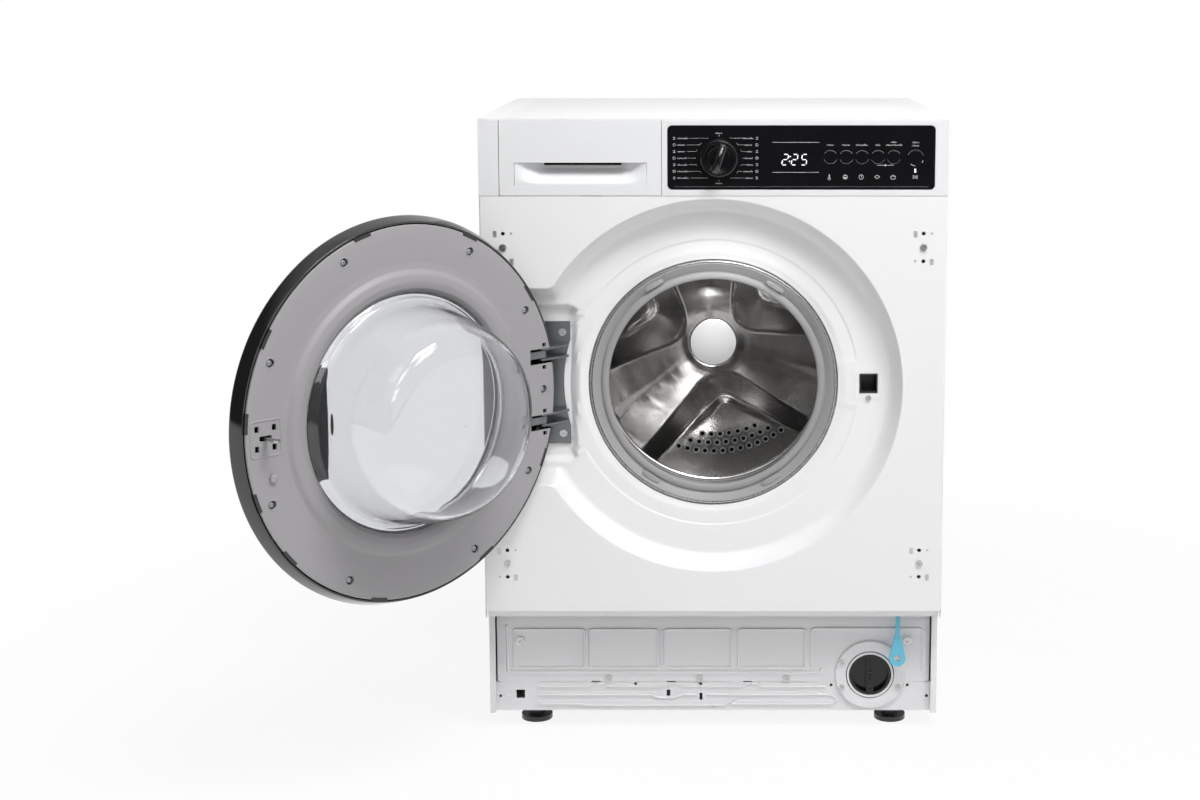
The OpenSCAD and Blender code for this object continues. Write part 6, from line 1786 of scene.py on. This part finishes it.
def build_world():
    """Sky for plain light, a mirrored room for gloss, and white for what is seen directly."""
    world = bpy.data.worlds.new("studio")
    bpy.context.scene.world = world
    world.use_nodes = True
    tree = world.node_tree
    tree.nodes.clear()
    place = tree.nodes.new("ShaderNodeTexCoord")
    split = tree.nodes.new("ShaderNodeSeparateXYZ")
    tree.links.new(place.outputs["Generated"], split.inputs[0])
    direct, glossy = seen_directly(tree)
    sky = ramp_node(tree, split.outputs["Z"], -0.6, 0.8, SKY_LOW, SKY_HIGH)
    mirror_front = ramp_node(tree, split.outputs["Y"], -0.975, -0.86, MIRROR_LOW, MIRROR_HIGH)
    behind = ramp_node(tree, split.outputs["Y"], -0.05, 0.35, 0.0, 1.0)
    dark_left = ramp_node(tree, split.outputs["X"], -0.6, -0.25, 0.12, 1.0)
    mirror = math_node(tree, "MAXIMUM", math_node(tree, "MULTIPLY", mirror_front, dark_left), behind)
    box = 1.0
    for axis, ends in (("X", SOFTBOX_X), ("Z", SOFTBOX_Z)):
        for start, stop in (ends[:2], ends[2:]):
            box = math_node(tree, "MULTIPLY", box, ramp_node(tree, split.outputs[axis], start, stop, 0.0, 1.0))
    box = math_node(tree, "MULTIPLY", box, ramp_node(tree, split.outputs["Y"], 0.0, -0.1, 0.0, SOFTBOX))
    mirror = math_node(tree, "MAXIMUM", mirror, box)
    keep_sky = math_node(tree, "MULTIPLY", sky, math_node(tree, "SUBTRACT", 1.0, glossy))
    strength = math_node(tree, "ADD", keep_sky, math_node(tree, "MULTIPLY", mirror, glossy))
    strength = math_node(tree, "MAXIMUM", strength, direct)
    light, out = tree.nodes.new("ShaderNodeBackground"), tree.nodes.new("ShaderNodeOutputWorld")
    light.inputs["Color"].default_value = (1, 1, 1, 1)
    tree.links.new(strength, light.inputs["Strength"])
    tree.links.new(light.outputs[0], out.inputs["Surface"])
    return world


def hang(data, place, target):
    """Hang a lamp at a place, turned to its target."""
    lamp = bpy.data.objects.new(data.name, data)
    lamp.location = place
    lamp.rotation_euler = (Vector(target) - Vector(place)).to_track_quat("-Z", "Y").to_euler()
    bpy.context.scene.collection.objects.link(lamp)
    return lamp


def soft_lamp(name, place, target, width, height, power):
    data = bpy.data.lights.new(name, "AREA")
    data.shape = "RECTANGLE"
    data.size, data.size_y, data.energy = width, height, power
    return hang(data, place, target)


def narrow_lamp(name, place, target, angle, power):
    data = bpy.data.lights.new(name, "SPOT")
    data.spot_size, data.spot_blend, data.shadow_soft_size, data.energy = math.radians(angle), 0.9, 0.06, power
    return hang(data, place, target)


SOFT_LAMPS = [
    ("front_left_lamp", (-1.3, -1.9, 2.7), (0, -0.2, 0.5), 1.1, 0.9, 3),
    ("front_right_lamp", (1.6, -1.8, 2.3), (0, -0.2, 0.5), 0.9, 1.0, 15),
    ("drum_lamp", (0.25, -2.7, 1.35), (0, 0, 0.5), 0.7, 0.5, 5),
    ("top_lamp", (0.5, -1.3, 2.5), (0, -0.2, 0.55), 1.1, 0.6, 44),
    ("side_lamp", (-2.4, 1.5, 1.7), (-0.2, 0.1, 0.45), 1.2, 1.0, 16)]
build_world()
for lamp in SOFT_LAMPS:
    soft_lamp(*lamp)
narrow_lamp("hub_lamp", (0.1, -2.95, 1.1), (0, 0.15, 0.5), 3.2, 330)

# %% [markdown]
# The machine stands on a pale studio floor that runs into the background. Near the feet the floor keeps its
# shadows. Further out it fades to the plain white of the backdrop, so no horizon shows.

# %% Pale floor
FLOOR_HALF, FLOOR_GREY = 12.0, 0.86


def build_floor():
    """A pale floor that glows where the camera, glass or gloss sees it far from the machine."""
    half = FLOOR_HALF
    mesh = bpy.data.meshes.new("studio_floor")
    mesh.from_pydata([(-half, -half, 0), (half, -half, 0), (half, half, 0), (-half, half, 0)], [],
                     [(0, 1, 2, 3)])
    floor = bpy.data.objects.new("studio_floor", mesh)
    bpy.context.scene.collection.objects.link(floor)
    material = bpy.data.materials.new("studio_floor")
    material.use_nodes = True
    tree = material.node_tree
    shader, out = tree.nodes["Principled BSDF"], tree.nodes["Material Output"]
    shader.inputs["Base Color"].default_value = (FLOOR_GREY, FLOOR_GREY, FLOOR_GREY, 1)
    shader.inputs["Roughness"].default_value = 0.8
    shader.inputs["Specular IOR Level"].default_value = 0.1
    place = tree.nodes.new("ShaderNodeTexCoord")
    split = tree.nodes.new("ShaderNodeSeparateXYZ")
    tree.links.new(place.outputs["Object"], split.inputs[0])
    far = tree.nodes.new("ShaderNodeVectorMath")
    far.operation = "LENGTH"
    tree.links.new(place.outputs["Object"], far.inputs[0])
    direct, glossy = seen_directly(tree)
    seen_share = ramp_node(tree, far.outputs["Value"], 0.5, 1.3, 0.88, 1.0)
    front_dark = ramp_node(tree, split.outputs["Y"], -5.0, -3.4, 0.03, 1.3)
    share = math_node(tree, "ADD", math_node(tree, "MULTIPLY", direct, seen_share), glossy, clamp=True)
    strength = math_node(tree, "MAXIMUM", direct, math_node(tree, "MULTIPLY", glossy, front_dark))
    glow = tree.nodes.new("ShaderNodeEmission")
    tree.links.new(strength, glow.inputs["Strength"])
    mix = tree.nodes.new("ShaderNodeMixShader")
    tree.links.new(share, mix.inputs[0])
    tree.links.new(shader.outputs[0], mix.inputs[1])
    tree.links.new(glow.outputs[0], mix.inputs[2])
    tree.links.new(mix.outputs[0], out.inputs["Surface"])
    mesh.materials.append(material)
    return floor


floor = build_floor()
bpy.context.scene.view_settings.view_transform = "Standard"
print("The floor measures", round(floor.dimensions.x), "metres across")
